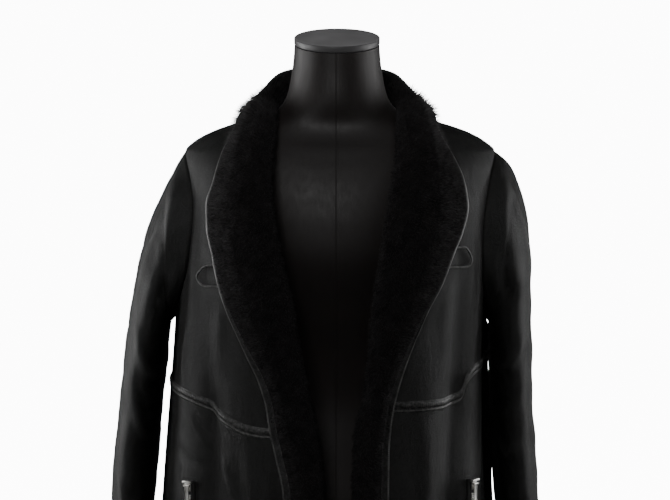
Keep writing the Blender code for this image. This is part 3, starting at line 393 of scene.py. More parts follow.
# Creases of the sleeves. Each row: side, turn (in degrees from the shoulder over the front)
# and ring of three places, half width and rise.
SLEEVE_CREASES = [
    (RIGHT, 150, 5.2, 110, 6.2, 64, 6.0, 0.0080, 0.0040),
    (RIGHT, 160, 6.4, 118, 7.2, 80, 6.8, 0.0070, -0.0030),
    (RIGHT, 158, 7.6, 116, 7.9, 84, 7.4, 0.0070, 0.0034),
    (RIGHT, 196, 6.8, 236, 7.6, 290, 7.2, 0.0090, 0.0032),
    (RIGHT, 40, 2.0, 52, 4.0, 44, 6.5, 0.0100, 0.0030),
    (RIGHT, 96, 0.8, 104, 2.6, 96, 4.6, 0.0090, -0.0030),
    (RIGHT, 130, 9.0, 96, 9.8, 60, 9.4, 0.0080, 0.0026),
    (LEFT, 152, 5.0, 112, 6.0, 70, 6.3, 0.0080, 0.0038),
    (LEFT, 158, 6.5, 120, 6.9, 78, 7.2, 0.0070, -0.0030),
    (LEFT, 156, 7.4, 122, 8.3, 92, 8.2, 0.0070, 0.0032),
    (LEFT, 200, 7.2, 240, 8.1, 282, 7.4, 0.0090, 0.0030),
    (LEFT, 36, 1.6, 46, 3.6, 38, 6.2, 0.0100, 0.0028),
    (LEFT, 90, 1.0, 100, 2.8, 90, 4.4, 0.0090, -0.0030),
    (LEFT, 290, 1.2, 280, 3.2, 292, 5.4, 0.0100, 0.0032),
    (RIGHT, 284, 1.0, 290, 3.0, 280, 5.0, 0.0100, 0.0030),
    (LEFT, 124, 9.6, 90, 10.3, 56, 10.0, 0.0080, 0.0024),
    (LEFT, 178, 4.6, 176, 8.4, 180, 12.4, 0.0150, 0.0020),
]


# ---------------------------------------------------------------- the jacket's surface
def side_column(side):
    return "left" if side == LEFT else "right"


def unit(vectors):
    return vectors / np.maximum(np.linalg.norm(vectors, axis=-1, keepdims=True), 1e-12)


def bent(value, power):
    return np.sign(value) * np.abs(value) ** power


def smooth_step(value):
    value = np.clip(value, 0.0, 1.0)
    return value * value * (3.0 - 2.0 * value)


def plain_points(side, angle, z):
    """Points of the undraped outer face. Angle 0 is the centre front, pi the centre back."""
    angle, z = np.broadcast_arrays(np.asarray(angle, float), np.asarray(z, float))
    bend = 2.0 / BODY.at("power", z)
    depth = np.where(np.cos(angle) >= 0.0, -BODY.at("front", z), BODY.at("back", z))
    x = side * BODY.at(side_column(side), z) * bent(np.sin(angle), bend)
    y = depth * np.abs(np.cos(angle)) ** bend
    return np.stack([x, y, z], axis=-1)


def plain_normals(side, angle, z):
    around = plain_points(side, angle + 0.01, z) - plain_points(side, angle - 0.01, z)
    top = np.minimum(z + 0.002, NECK_Z)
    upward = plain_points(side, angle, top) - plain_points(side, angle, top - 0.004)
    return unit(np.cross(around, upward) * side)


def angle_at_x(side, x, z):
    share = np.minimum(1.0, x / BODY.at(side_column(side), z))
    return np.arcsin(share ** (BODY.at("power", z) / 2.0))


def angle_at_depth(column, depth, z):
    share = np.minimum(1.0, depth / BODY.at(column, z))
    return np.arccos(share ** (BODY.at("power", z) / 2.0))


def armhole_depth(reach, z):
    middle = (ARMHOLE_TOP_Z + ARMHOLE_LOW_Z) / 2.0
    half = (ARMHOLE_TOP_Z - ARMHOLE_LOW_Z) / 2.0
    share = np.clip(np.abs(z - middle) / half, 0.0, 1.0)
    return reach * (1.0 - share ** ARMHOLE_POWER) ** (1.0 / ARMHOLE_POWER)


def front_side_angle(z):
    return angle_at_depth("front", armhole_depth(ARMHOLE_FRONT, z) + SEAM_GAP, z)


def back_side_angle(z):
    return math.pi - angle_at_depth("back", armhole_depth(ARMHOLE_BACK, z) + SEAM_GAP, z)


def course_of(knots):
    """Points on the smooth curve from the first knot to the last, bent by the middle one."""
    t = np.linspace(0.0, 1.0, CREASE_POINTS)[:, None]
    first, middle, last = [np.asarray(k, float)[None, :] for k in knots]
    control = 2.0 * middle - 0.5 * (first + last)
    return (1.0 - t) ** 2 * first + 2.0 * t * (1.0 - t) * control + t * t * last


def body_creases():
    """Each crease of the body as a course of points in space, a half width and a rise."""
    made = []
    for side, face, x0, z0, x1, z1, x2, z2, width, rise in CREASES:
        flat = course_of([(x0, z0), (x1, z1), (x2, z2)])
        angle = angle_at_x(side, flat[:, 0], flat[:, 1])
        if face < 0:
            angle = math.pi - angle
        made.append((plain_points(side, angle, flat[:, 1]), width, rise))
    return made


def crease_lift(points, creases):
    """How far the creases lift an array of points: a ridge or trough, shallow at its ends."""
    dip, spread = CREASE_SKIRT
    flat = points.reshape(-1, 3)
    lift = np.zeros(len(flat))
    for course, width, rise in creases:
        reach = CREASE_REACH * width
        near = np.all((flat > course.min(0) - reach) & (flat < course.max(0) + reach), axis=1)
        if not near.any():
            continue
        p = flat[near]
        best = np.full(len(p), 1e9)
        along = np.zeros(len(p))
        for i in range(len(course) - 1):
            a = course[i]
            run = course[i + 1] - a
            t = np.clip((p - a) @ run / (run @ run), 0.0, 1.0)
            distance = np.linalg.norm(p - a - t[:, None] * run, axis=1)
            closer = distance < best
            best[closer] = distance[closer]
            along[closer] = ((i + t) / (len(course) - 1))[closer]
        fade = np.sin(np.pi * along) ** 0.8
        skirt = dip * np.exp(-(best / (spread * width)) ** 2)
        shape = np.exp(-(best / width) ** 2) - skirt
        lift[near] += CREASE_GAIN * rise * fade * shape
    return lift.reshape(points.shape[:-1])


BODY_CREASES = body_creases()


def drape(side, points, on_front):
    """The lift of the large folds and of the creases, at points of the undraped face."""
    x = np.abs(points[..., 0])
    z = points[..., 2]
    total = np.zeros(z.shape)
    for fold_side, face, top_x, top_z, hem_x, half_width, rise in FOLDS:
        if fold_side != side:
            continue
        run = (top_z - z) / (top_z - HEM_Z)
        middle = top_x + (hem_x - top_x) * run
        across = (x - middle) / half_width
        growth = smooth_step(2.2 * run)
        total += np.where(on_front == (face > 0), rise * growth * np.exp(-across ** 2), 0.0)
    free = np.where(on_front, x - FREE_EDGE.at(side_column(side), z), 1.0)
    clear = smooth_step((free - 0.004) / 0.012) * smooth_step((NECK_Z - z) / 0.02)
    return total + clear * crease_lift(points, BODY_CREASES)


def body_points(side, angle, z, out=0.0):
    """Points of the draped outer face, moved out along the undraped normal."""
    plain = plain_points(side, angle, z)
    lift = drape(side, plain, np.cos(np.broadcast_to(angle, plain.shape[:-1])) >= 0.0)
    return plain + plain_normals(side, angle, z) * (lift + out)[..., None]


def over_front(side, x, z, out):
    x, z = np.broadcast_arrays(np.asarray(x, float), np.asarray(z, float))
    return body_points(side, angle_at_x(side, x, z), z, out)


def refined(grid, parts, axis=0):
    """A grid of points with more rows or columns, on smooth curves through the given ones."""
    g = np.moveaxis(np.asarray(grid, float), axis, 0)
    ends = np.concatenate([2.0 * g[:1] - g[1:2], g, 2.0 * g[-1:] - g[-2:-1]])
    a, b, c, d = (ends[i:len(ends) - 3 + i][:, None] for i in range(4))
    t = (np.arange(parts) / parts).reshape((1, parts) + (1,) * (g.ndim - 1))
    fine = 0.5 * (2.0 * b + (c - a) * t + (2.0 * a - 5.0 * b + 4.0 * c - d) * t ** 2
                  + (3.0 * b - a - 3.0 * c + d) * t ** 3)
    fine = np.concatenate([fine.reshape((-1,) + g.shape[1:]), g[-1:]])
    return np.moveaxis(fine, 0, axis)


def edged(count, length):
    """Shares of a length from 0 to 1, even but for two close ones beside each end."""
    near = EDGE_SPACING / length
    inner = np.linspace(2.5 * near, 1.0 - 2.5 * near, count)
    return np.concatenate([[0.0, near], inner, [1.0 - near, 1.0]])


def edge_drop(distance, reach=0.0019, drop=0.0009):
    """How far a panel's outer face rounds down towards a cut edge."""
    return -drop * (1.0 - np.clip(distance / reach, 0.0, 1.0)) ** 2


def bumpy(points, scale, seed):
    """Smooth uneven numbers from -1 to 1 at points in space, without a texture."""
    rng = np.random.default_rng(seed)
    total = np.zeros(points.shape[:-1])
    for _ in range(7):
        way = unit(rng.normal(size=3)) * 2.0 * math.pi / (scale * rng.uniform(0.6, 1.7))
        total += np.sin(points @ way + rng.uniform(0.0, 6.28))
    return total / 4.0


# ---------------------------------------------------------------- making meshes
def placed(name, data):
    """A new object in the scene."""
    made = bpy.data.objects.new(name, data)
    bpy.context.scene.collection.objects.link(made)
    return made


def settle(made, node=None, body=MAIN_BODY):
    """Hides the CAD solid that a piece replaces, if any, and gives the piece its body."""
    if node:
        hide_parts(node)
    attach(made, body)


def store(made, name, values):
    """Keeps a number at each point of a mesh, where its finish reads it by name."""
    values = values.ravel().astype(np.float32)
    made.data.attributes.new(name, "FLOAT", "POINT").data.foreach_set("value", values)


def add_object(name, points, faces, finishes, finish_index=None, sharp=45.0):
    """A smooth shaded mesh object from arrays of points and faces."""
    mesh = bpy.data.meshes.new(name)
    mesh.from_pydata(np.asarray(points).tolist(), [], [tuple(f) for f in faces])
    for finish in finishes:
        mesh.materials.append(finish)
    if finish_index is not None:
        mesh.polygons.foreach_set("material_index", np.asarray(finish_index, np.int32))
    mesh.shade_smooth()
    if sharp:
        mesh.set_sharp_from_angle(angle=math.radians(sharp))
    mesh.update()
    return placed(name, mesh)


def shell_faces(rows, columns, ring=False):
    """Faces of a wall between an under and an over grid: under, over, then rims."""
    half = rows * columns
    spans = columns if ring else columns - 1
    r, c = np.meshgrid(np.arange(rows - 1), np.arange(spans), indexing="ij")
    d = (c + 1) % columns
    square = np.stack([r * columns + c, r * columns + d, (r + 1) * columns + d,
                       (r + 1) * columns + c], axis=-1).reshape(-1, 4)
    rims = []
    c = np.arange(spans)
    d = (c + 1) % columns
    for row, flip in ((0, False), (rows - 1, True)):
        rim = np.stack([row * columns + c, half + row * columns + c,
                        half + row * columns + d, row * columns + d], axis=-1)
        rims.append(rim[:, ::-1] if flip else rim)
    if not ring:
        r = np.arange(rows - 1)
        for column, flip in ((0, True), (columns - 1, False)):
            a = r * columns + column
            rim = np.stack([a, half + a, half + a + columns, a + columns], axis=-1)
            rims.append(rim[:, ::-1] if flip else rim)
    return square[:, ::-1], square + half, np.concatenate(rims)


def shell(name, under, over, outside, inside=None, ring=False, wear_and_shine=None):
    """A closed thin wall between two grids of points."""
    rows, columns = over.shape[:2]
    low, high, rim = shell_faces(rows, columns, ring)
    points = np.concatenate([under.reshape(-1, 3), over.reshape(-1, 3)])
    faces = np.concatenate([low, high, rim])
    middle = high[len(high) // 2]
    a, b, _, d = points[middle]
    outward = np.cross(b - a, d - a) @ (points[middle[0]] - points[middle[0] - rows * columns])
    if outward < 0.0:
        faces = faces[:, ::-1]
    index = np.zeros(len(faces), int)
    finishes = [outside]
    if inside:
        finishes.append(inside)
        index[:len(low)] = 1
    made = add_object(name, points, faces, finishes, index)
    # The stored number is wear on the leather panels and the collar skin, and a painted highlight
    # on the seam bands.
    if wear_and_shine is not None:
        store(made, "wear_and_highlight", np.stack([wear_and_shine, wear_and_shine]))
    return made


def tube(name, centres, radius, normals, finish):
    """A round cord along a course, with closed ends."""
    ahead = unit(np.gradient(centres, axis=0))
    beside = unit(np.cross(ahead, normals))
    up = unit(np.cross(beside, ahead))
    turn = np.linspace(0.0, 2.0 * math.pi, CORD_SIDES, endpoint=False)
    ring = (np.cos(turn)[None, :, None] * beside[:, None] +
            np.sin(turn)[None, :, None] * up[:, None])
    return swept(name, centres[:, None] + ring * radius[:, None, None], finish)


def swept(name, rings, finish):
    """A closed solid through rings of points, with a flat face at each end."""
    count, sides = rings.shape[:2]
    r, c = np.meshgrid(np.arange(count - 1), np.arange(sides), indexing="ij")
    d = (c + 1) % sides
    square = np.stack([r * sides + c, (r + 1) * sides + c, (r + 1) * sides + d,
                       r * sides + d], axis=-1).reshape(-1, 4)
    faces = [tuple(f) for f in square]
    faces.append(tuple(range(sides)))
    faces.append(tuple(range((count - 1) * sides, count * sides))[::-1])
    made = add_object(name, rings.reshape(-1, 3), faces, [finish], sharp=None)
    work = bmesh.new()
    work.from_mesh(made.data)
    bmesh.ops.recalc_face_normals(work, faces=work.faces)
    work.to_mesh(made.data)
    work.free()
    made.data.set_sharp_from_angle(angle=SWEPT_SHARP)
    return made


def repeated(points, one, step):
    """The points and all the faces of a mesh of equal parts, from the faces of the first."""
    starts = np.arange(0, len(points), step)
    return points, (one[None] + starts[:, None, None]).reshape(-1, one.shape[1])


def stitch_rows(name, courses, finish, pitch, length, radius):
    """Rows of sewn stitches: each a short thread that rises out of the leather and dips back.

    courses holds pairs of arrays: the points of a seam line and the leather's normals there.
    """
    all_points = []
    sides = 5
    stations = np.array([-0.5, -0.26, 0.26, 0.5])
    rise = np.array([-0.5, 0.75, 0.75, -0.5]) * radius
    thick = np.array([0.6, 1.0, 1.0, 0.6]) * radius
    for course, normals in courses:
        steps = np.linalg.norm(np.diff(course, axis=0), axis=1)
        run = np.concatenate([[0.0], np.cumsum(steps)])
        count = int(run[-1] / pitch)
        if count < 1:
            continue
        middles = (np.arange(count) + 0.5) * pitch
        at = middles[:, None] + stations[None, :] * length
        p = np.stack([np.interp(at, run, course[:, i]) for i in range(3)], axis=-1)
        n = unit(np.stack([np.interp(at, run, normals[:, i]) for i in range(3)], axis=-1))
        ahead = unit(p[:, -1:] - p[:, :1])
        beside = unit(np.cross(ahead, n))
        p = p + n * rise[None, :, None]
        turn = np.linspace(0.0, 2.0 * math.pi, sides, endpoint=False)
        ring = np.cos(turn)[:, None] * beside[:, :, None] + np.sin(turn)[:, None] * n[:, :, None]
        all_points.append((p[:, :, None] + ring * thick[None, :, None, None]).reshape(-1, 3))
    r, c = np.meshgrid(np.arange(len(stations) - 1) * sides, np.arange(sides), indexing="ij")
    d = (c + 1) % sides
    one = np.stack([r + c, r + d, r + sides + d, r + sides + c], axis=-1).reshape(-1, 4)
    points, faces = repeated(np.concatenate(all_points), one, len(stations) * sides)
    return add_object(name, points, faces, [finish], sharp=None)


BLADE_SUNK = 0.0006
LOCK_WIDTH = 0.016
LOCK_SWAY = 0.38
BLADE_SWAY = 0.16
BLADE_TALL = (0.72, 1.12)
TUFT_WIDTH = 0.011
TUFT_RISE = 0.16
BLADE_CORNERS = (0.0, 2.1, 4.2)


def blades(name, base, outward, comb, count, length, width, finish, seed, lean):
    """Fur: short tapered blades on a grid, combed one way, in uneven locks."""
    rng = np.random.default_rng(seed)
    columns = base.shape[1]
    across = base[:-1, 1:] - base[:-1, :-1]
    down = base[1:, :-1] - base[:-1, :-1]
    area = np.linalg.norm(np.cross(across, down), axis=-1).ravel()
    cell = rng.choice(len(area), size=count, p=area / area.sum())
    r, c = cell // (columns - 1), cell % (columns - 1)
    u, v = rng.random(count)[:, None], rng.random(count)[:, None]

    def mixed(values):
        near = values[r, c] * (1.0 - u) + values[r, c + 1] * u
        far = values[r + 1, c] * (1.0 - u) + values[r + 1, c + 1] * u
        return near * (1.0 - v) + far * v

    root = mixed(base)
    stand = unit(mixed(outward))
    combed = mixed(comb)
    lock = np.stack([bumpy(root, LOCK_WIDTH, seed + k) for k in (1, 2, 3)], axis=-1)
    stray = rng.normal(scale=BLADE_SWAY, size=(count, 3))
    way = unit(stand + lean * combed + LOCK_SWAY * lock + stray)
    length = mixed(np.broadcast_to(length, base.shape[:2])[..., None])[:, 0]
    tuft = 1.0 + TUFT_RISE * bumpy(root, TUFT_WIDTH, seed + 9)
    tall = length * rng.uniform(*BLADE_TALL, count) * tuft
    tip = root + way * tall[:, None]
    side = unit(np.cross(way, rng.normal(size=(count, 3))))
    other = np.cross(way, side)
    corners = [root - way * BLADE_SUNK + width * (math.cos(a) * side + math.sin(a) * other)
               for a in BLADE_CORNERS]
    points = np.stack(corners + [tip], axis=1).reshape(-1, 3)
    one = np.array([(0, 1, 3), (1, 2, 3), (2, 0, 3)])
    points, faces = repeated(points, one, 4)
    made = add_object(name, points, faces, [finish], sharp=None)
    store(made, "blade_shade", np.repeat(rng.random(count), 4))
    return made


# ---------------------------------------------------------------- finishes
class Finish:
    """A material under construction: a Principled shader and short ways to add nodes."""

    def __init__(self, name, roughness, specular=0.5, metallic=0.0):
        self.material = bpy.data.materials.new(name)
        self.material.use_nodes = True
        self.tree = self.material.node_tree
        self.tree.nodes.clear()
        self.shader = self.add("ShaderNodeBsdfPrincipled", {
            "Roughness": roughness, "Specular IOR Level": specular, "Metallic": metallic})
        surface = self.add("ShaderNodeOutputMaterial").inputs["Surface"]
        self.link(self.shader.outputs["BSDF"], surface)
        self.place = self.add("ShaderNodeTexCoord").outputs["Object"]

    def add(self, kind, inputs=None, **settings):
        """A node with its settings, and what it gets at each input."""
        node = self.tree.nodes.new(kind)
        for key, value in settings.items():
            setattr(node, key, value)
        for key, value in (inputs or {}).items():
            self.put(node.inputs[key], value)
        return node

    def link(self, source, target):
        self.tree.links.new(source, target)

    def put(self, target, value):
        """Gives an input another node's output, a colour or a number."""
        if isinstance(value, bpy.types.NodeSocket):
            self.link(value, target)
        elif hasattr(value, "__len__"):
            target.default_value = (*value[:3], 1.0)
        else:
            target.default_value = value

    def stretched(self, scale):
        mapping = self.add("ShaderNodeMapping")
        mapping.inputs["Scale"].default_value = scale
        self.link(self.place, mapping.inputs["Vector"])
        return mapping.outputs["Vector"]

    def noise(self, scale, detail=3.0, distortion=0.0, place=None):
        return self.add("ShaderNodeTexNoise", {
            "Scale": scale, "Detail": detail, "Distortion": distortion,
            "Vector": place or self.place}).outputs["Fac"]

    def cells(self, scale):
        return self.add("ShaderNodeTexVoronoi", {"Scale": scale, "Vector": self.place},
                        feature="DISTANCE_TO_EDGE").outputs["Distance"]

    def wave(self, scale, direction, distortion):
        inputs = {"Scale": scale, "Distortion": distortion, "Vector": self.place}
        return self.add("ShaderNodeTexWave", inputs, bands_direction=direction).outputs["Fac"]

    def attribute(self, name):
        return self.add("ShaderNodeAttribute", attribute_name=name).outputs["Fac"]

    def spanned(self, value, low, high, out_low, out_high):
        return self.add("ShaderNodeMapRange", {
            "Value": value, "From Min": low, "From Max": high, "To Min": out_low,
            "To Max": out_high}).outputs["Result"]

    def maths(self, a, b, operation="ADD"):
        return self.add("ShaderNodeMath", {0: a, 1: b}, operation=operation).outputs["Value"]

    def blend_colour(self, share, a, b):
        return self.add("ShaderNodeMix", {0: share, 6: a, 7: b}, data_type="RGBA").outputs[2]

    def bump(self, height, strength, distance, under=None):
        node = self.add("ShaderNodeBump", {
            "Strength": strength, "Distance": distance, "Height": height})
        if under:
            self.link(under, node.inputs["Normal"])
        return node.outputs["Normal"]

    def end(self, colour, roughness=None, normal=None, sheen=0.0):
        self.put(self.shader.inputs["Base Color"], colour)
        if roughness is not None:
            self.put(self.shader.inputs["Roughness"], roughness)
        if normal:
            self.link(normal, self.shader.inputs["Normal"])
        self.shader.inputs["Sheen Weight"].default_value = sheen
        return self.material


def leather_finish(name):
    look = bpy.context.scene.jacket_leather
    return leather(name, look.wear_and_highlight_colour, look.roughness, look.gloss, 1.0)


# Leather for the seam bands and button loops, drawn towards a painted highlight colour on their
# ridges.
def trim_finish(name):
    look = bpy.context.scene.jacket_leather
    return leather(name, look.trim_highlight_colour, look.roughness - 0.10, 0.5, 0.4)


# Leather for the bindings, drawn towards a painted highlight colour along thin lines.
def binding_finish(name):
    look = bpy.context.scene.jacket_leather
    return leather(name, look.binding_highlight_colour, look.roughness - 0.14, 0.5, 0.35, rubbed=0.16)


def leather(name, wear_and_highlight_colour, roughness, gloss, relief, rubbed=1.0):
    """Grained black leather, lighter where the piece's own stored number is high: wear on the
    nappa, and a painted highlight on the trim, the loops and the bindings.
    """
    look = bpy.context.scene.jacket_leather
    f = Finish(name, roughness, specular=gloss)
    grain = f.spanned(f.cells(1.0 / look.grain_size), 0.0, 0.16, 0.0, 1.0)
    pores = f.noise(1.6 / look.grain_size, 2.0)
    drawn = f.noise(60.0, 5.0, 0.6, f.stretched((1.0, 1.0, 0.30)))
    pebbles = f.noise(330.0, 4.0, 0.3)
    clouds = f.noise(16.0, 4.0, 0.4)
    rub_and_highlight = f.maths(f.spanned(clouds, 0.38, 0.72, 0.0, 0.35 * rubbed),
                  f.spanned(pebbles, 0.42, 0.68, 0.0, 0.55 * rubbed))
    # The stored number is wear on the nappa panels and a painted highlight on the ridges of the
    # bands, loops and bindings.
    rub_and_highlight = f.maths(rub_and_highlight, f.attribute("wear_and_highlight"))
    # For the nappa this colour is worn leather; for the trim and the bindings it is a painted
    # highlight colour.
    colour = f.blend_colour(rub_and_highlight, look.colour, wear_and_highlight_colour)
    rough = f.maths(f.spanned(clouds, 0.3, 0.7, roughness - 0.05, roughness + 0.07),
                    f.spanned(grain, 0.0, 1.0, 0.10, 0.0))
    height = f.bump(drawn, 0.45 * relief, 0.0024)
    height = f.bump(pebbles, 0.42 * relief, 0.0009, height)
    height = f.bump(grain, 0.60 * relief, 0.00045, height)
    height = f.bump(pores, 0.50 * relief, 0.00045, height)
    return f.end(colour, rough, height)


def pile_finish(name):
    look = bpy.context.scene.jacket_pile
    f = Finish(name, 0.86, specular=0.12)
    tufts = f.noise(420.0, 3.0, 0.3)
    locks = f.noise(70.0, 3.0, 0.5)
    colour = f.blend_colour(f.spanned(locks, 0.35, 0.75, 0.0, 0.6), look.colour, look.tip_colour)
    height = f.bump(locks, 0.7, 0.0030)
    height = f.bump(tufts, 0.9, 0.0012, height)
    return f.end(colour, None, height, sheen=0.04)


def blade_finish(name):
    look = bpy.context.scene.jacket_pile
    f = Finish(name, 0.62, specular=0.22)
    patch = f.spanned(f.noise(55.0, 2.0), 0.35, 0.7, 0.0, 0.45)
    share = f.maths(f.spanned(f.attribute("blade_shade"), 0.0, 1.0, 0.0, 0.5), patch)
    colour = f.blend_colour(share, look.colour, look.tip_colour)
    return f.end(colour, None, None, sheen=0.03)


def thread_finish(name):
    look = bpy.context.scene.jacket_sewing
    f = Finish(name, 0.44, specular=0.5)
    # Painted highlight: the thread's twist is drawn in a lighter colour.
    ply = f.wave(900.0, "DIAGONAL", 0.6)
    colour = f.blend_colour(f.spanned(ply, 0.2, 0.9, 0.0, 0.7), look.colour, look.highlight_colour)
    return f.end(colour, None, f.bump(ply, 0.4, 0.0001), sheen=0.1)


def satin_finish(name):
    look = bpy.context.scene.jacket_form
    f = Finish(name, 0.46, specular=0.42)
    warp = f.wave(1500.0, "X", 0.3)
    weft = f.wave(1300.0, "Z", 0.3)
    slub = f.noise(240.0, 3.0, 0.0, f.stretched((1.0, 1.0, 0.06)))
    clouds = f.noise(9.0, 3.0)
    split = f.add("ShaderNodeSeparateXYZ", {"Vector": f.place})
    off_seam = f.maths(split.outputs["X"], 0.0, "ABSOLUTE")
    seam = f.spanned(off_seam, 0.0004, 0.0022, 0.0, 1.0)
    colour = f.blend_colour(f.spanned(clouds, 0.35, 0.7, 0.0, 1.0), look.satin, look.satin_light)
    seam_line = f.spanned(off_seam, 0.0, 0.0007, 0.6, 0.0)
    colour = f.blend_colour(seam_line, colour, (0.003, 0.003, 0.003))
    rough = f.spanned(slub, 0.3, 0.7, 0.42, 0.52)
    height = f.bump(seam, 0.45, 0.0007)
    height = f.bump(f.maths(warp, weft), 0.12, 0.0001, height)
    height = f.bump(slub, 0.14, 0.0003, height)
    return f.end(colour, rough, height, sheen=0.10)


def cap_finish(name):
    look = bpy.context.scene.jacket_form
    f = Finish(name, 0.40, specular=0.5)
    speck = f.noise(900.0, 3.0)
    clouds = f.noise(24.0, 3.0)
    # Painted highlight: the faces that look up are lighter, in patches, as where the light from
    # above falls.
    normal = f.add("ShaderNodeNewGeometry").outputs["Normal"]
    facing = f.add("ShaderNodeSeparateXYZ", {"Vector": normal})
    paler_mask = f.spanned(facing.outputs["Z"], 0.5, 0.95, 0.0, 1.0)
    paler_mask = f.maths(paler_mask, f.spanned(clouds, 0.35, 0.7, 0.7, 1.0), "MULTIPLY")
    colour = f.blend_colour(paler_mask, look.cap, look.cap_top_highlight)
    return f.end(colour, f.spanned(clouds, 0.3, 0.7, 0.36, 0.48), f.bump(speck, 0.16, 0.00015))


def paint_finish(name):
    look = bpy.context.scene.jacket_form
    f = Finish(name, 0.38, specular=0.5)
    peel = f.noise(520.0, 2.0)
    # Paler where dust lies on the paint, in patches.
    paler_mask = f.noise(38.0, 5.0, 0.4)
    colour = f.blend_colour(f.spanned(paler_mask, 0.45, 0.8, 0.0, 0.5), look.paint, look.paint_light)
    return f.end(colour, f.spanned(paler_mask, 0.3, 0.75, 0.32, 0.50), f.bump(peel, 0.14, 0.0002))


def metal_finish(name):
    look = bpy.context.scene.jacket_metal
    f = Finish(name, look.roughness, metallic=1.0)
    scratch = f.noise(2600.0, 2.0, 0.0, f.stretched((1.0, 1.0, 0.12)))
    tarnish = f.noise(300.0, 4.0)
    colour = f.blend_colour(f.spanned(tarnish, 0.5, 0.8, 0.0, 0.5), look.colour, look.dull_colour)
    rough = f.spanned(tarnish, 0.35, 0.75, look.roughness, look.roughness + 0.16)
    return f.end(colour, rough, f.bump(scratch, 0.08, 0.00005))


def tape_finish(name):
    look = bpy.context.scene.jacket_sewing
    f = Finish(name, 0.78, specular=0.25)
    # Painted highlight: the tape's ribs are drawn in the thread's lighter highlight colour.
    rib = f.wave(620.0, "DIAGONAL", 0.2)
    cross = f.wave(900.0, "Z", 0.2)
    colour = f.blend_colour(f.spanned(rib, 0.2, 0.9, 0.0, 0.8), look.colour, look.highlight_colour)
    return f.end(colour, None, f.bump(f.maths(rib, cross), 0.6, 0.0003), sheen=0.1)


FINISHES = {
    "black_nappa": leather_finish,
    "trim_leather": trim_finish,
    "binding_leather": binding_finish,
    "black_pile": pile_finish,
    "black_blades": blade_finish,
    "black_thread": thread_finish,
    "black_satin_cover": satin_finish,
    "cap_plastic": cap_finish,
    "stand_paint": paint_finish,
    "polished_nickel": metal_finish,
    "woven_zip_tape": tape_finish,
}


def kept(name):
    """A finish by name, made the first time that it is asked for."""
    return bpy.data.materials.get(name) or FINISHES[name](name)


# ---------------------------------------------------------------- body panels
def panel_wall(side, angle, z, edge_distance):
    """A body panel's inner and outer faces and the number stored for its colour, on a grid of
    angles and heights.
    """
    plain = plain_points(side, angle, z)
    normals = plain_normals(side, angle, z)
    lift = drape(side, plain, np.cos(angle) >= 0.0)
    over = plain + normals * (lift + edge_drop(edge_distance))[..., None]
    under = plain + normals * (lift - LEATHER)[..., None]
    # Worn near the cut edges, and lighter on the tops of folds and creases.
    wear_and_shine = 0.55 * np.exp(-edge_distance / WEAR_REACH) + np.clip(lift / 0.012, 0.0, 0.5)
    return under, over, wear_and_shine


def leather_panel(name, node, under, over, wear_and_shine, ring=False):
    """A thin wall: leather outside, pile inside."""
    made = shell(name, under, over, kept("black_nappa"), kept("black_pile"), ring, wear_and_shine)
    settle(made, node)


def front_angle(side, z, share):
    start = angle_at_x(side, FOLD_LINE.at(side_column(side), z), z)
    return start + (front_side_angle(z) - start) * share


def seam_z(side, x):
    return SEAM[side].at("z", x)


def fitted_heights(side, across, height_at):
    """Heights of a grid whose rows follow a seam: height_at gives them from each place's x."""
    z = np.full(height_at(np.full((1, len(across)), 0.12)).shape, 0.5)
    for _ in range(SEAM_ROUNDS):
        x = np.abs(plain_points(side, front_angle(side, z, across[None, :]), z)[..., 0])
        z = height_at(x)
    return z, x


def armhole_heights(count):
    middle = (ARMHOLE_TOP_Z + ARMHOLE_LOW_Z) / 2.0
    half = (ARMHOLE_TOP_Z - ARMHOLE_LOW_Z) / 2.0
    return middle - half * np.cos(np.linspace(0.0, math.pi, count))


def shoulder_heights(count):
    return ARMHOLE_TOP_Z + (NECK_Z - ARMHOLE_TOP_Z) * np.linspace(0.0, 1.0, count)[1:]


def below_neck(z):
    """Distance from the neck's cut edge, along the slope of the shoulder."""
    return (NECK_Z + 0.0004 - z) * 2.5


def make_lower_front(side, word):
    wide, tall = 0.21, 0.33
    across = edged(68, wide)
    down = edged(100, tall)[:, None]

    def height_at(x):
        top = seam_z(side, x) - SEAM_GAP / 2.0
        return HEM_Z + (top - HEM_Z) * down

    z, _ = fitted_heights(side, across, height_at)
    beside = np.minimum(across, 1.0 - across)[None, :] * wide
    distance = np.minimum(beside, np.minimum(down, 1.0 - down) * tall)
    angle = front_angle(side, z, across[None, :])
    leather_panel("lower_front_" + word, "front_lower_" + word,
                  *panel_wall(side, angle, z, distance))


def make_upper_front(side, word):
    wide = 0.19
    across = edged(66, wide)
    rise = np.concatenate([[0.0, 0.01], np.linspace(0.03, 0.97, 30)])[:, None]

    def height_at(x):
        low = seam_z(side, x) + SEAM_GAP / 2.0
        return low + (ARMHOLE_LOW_Z - low) * rise

    z, x = fitted_heights(side, across, height_at)
    level = np.concatenate([armhole_heights(80), shoulder_heights(22)])
    upper = np.repeat(level[:, None], len(across), axis=1)
    z = np.concatenate([z, upper])
    over_seam = np.full(z.shape, 1.0)
    over_seam[:len(x)] = z[:len(x)] - seam_z(side, x)
    beside = np.minimum(across, 1.0 - across)[None, :] * wide
    distance = np.minimum(np.minimum(beside, over_seam), below_neck(z))
    angle = front_angle(side, z, across[None, :])
    leather_panel("upper_front_" + word, "front_upper_" + word,
                  *panel_wall(side, angle, z, distance))


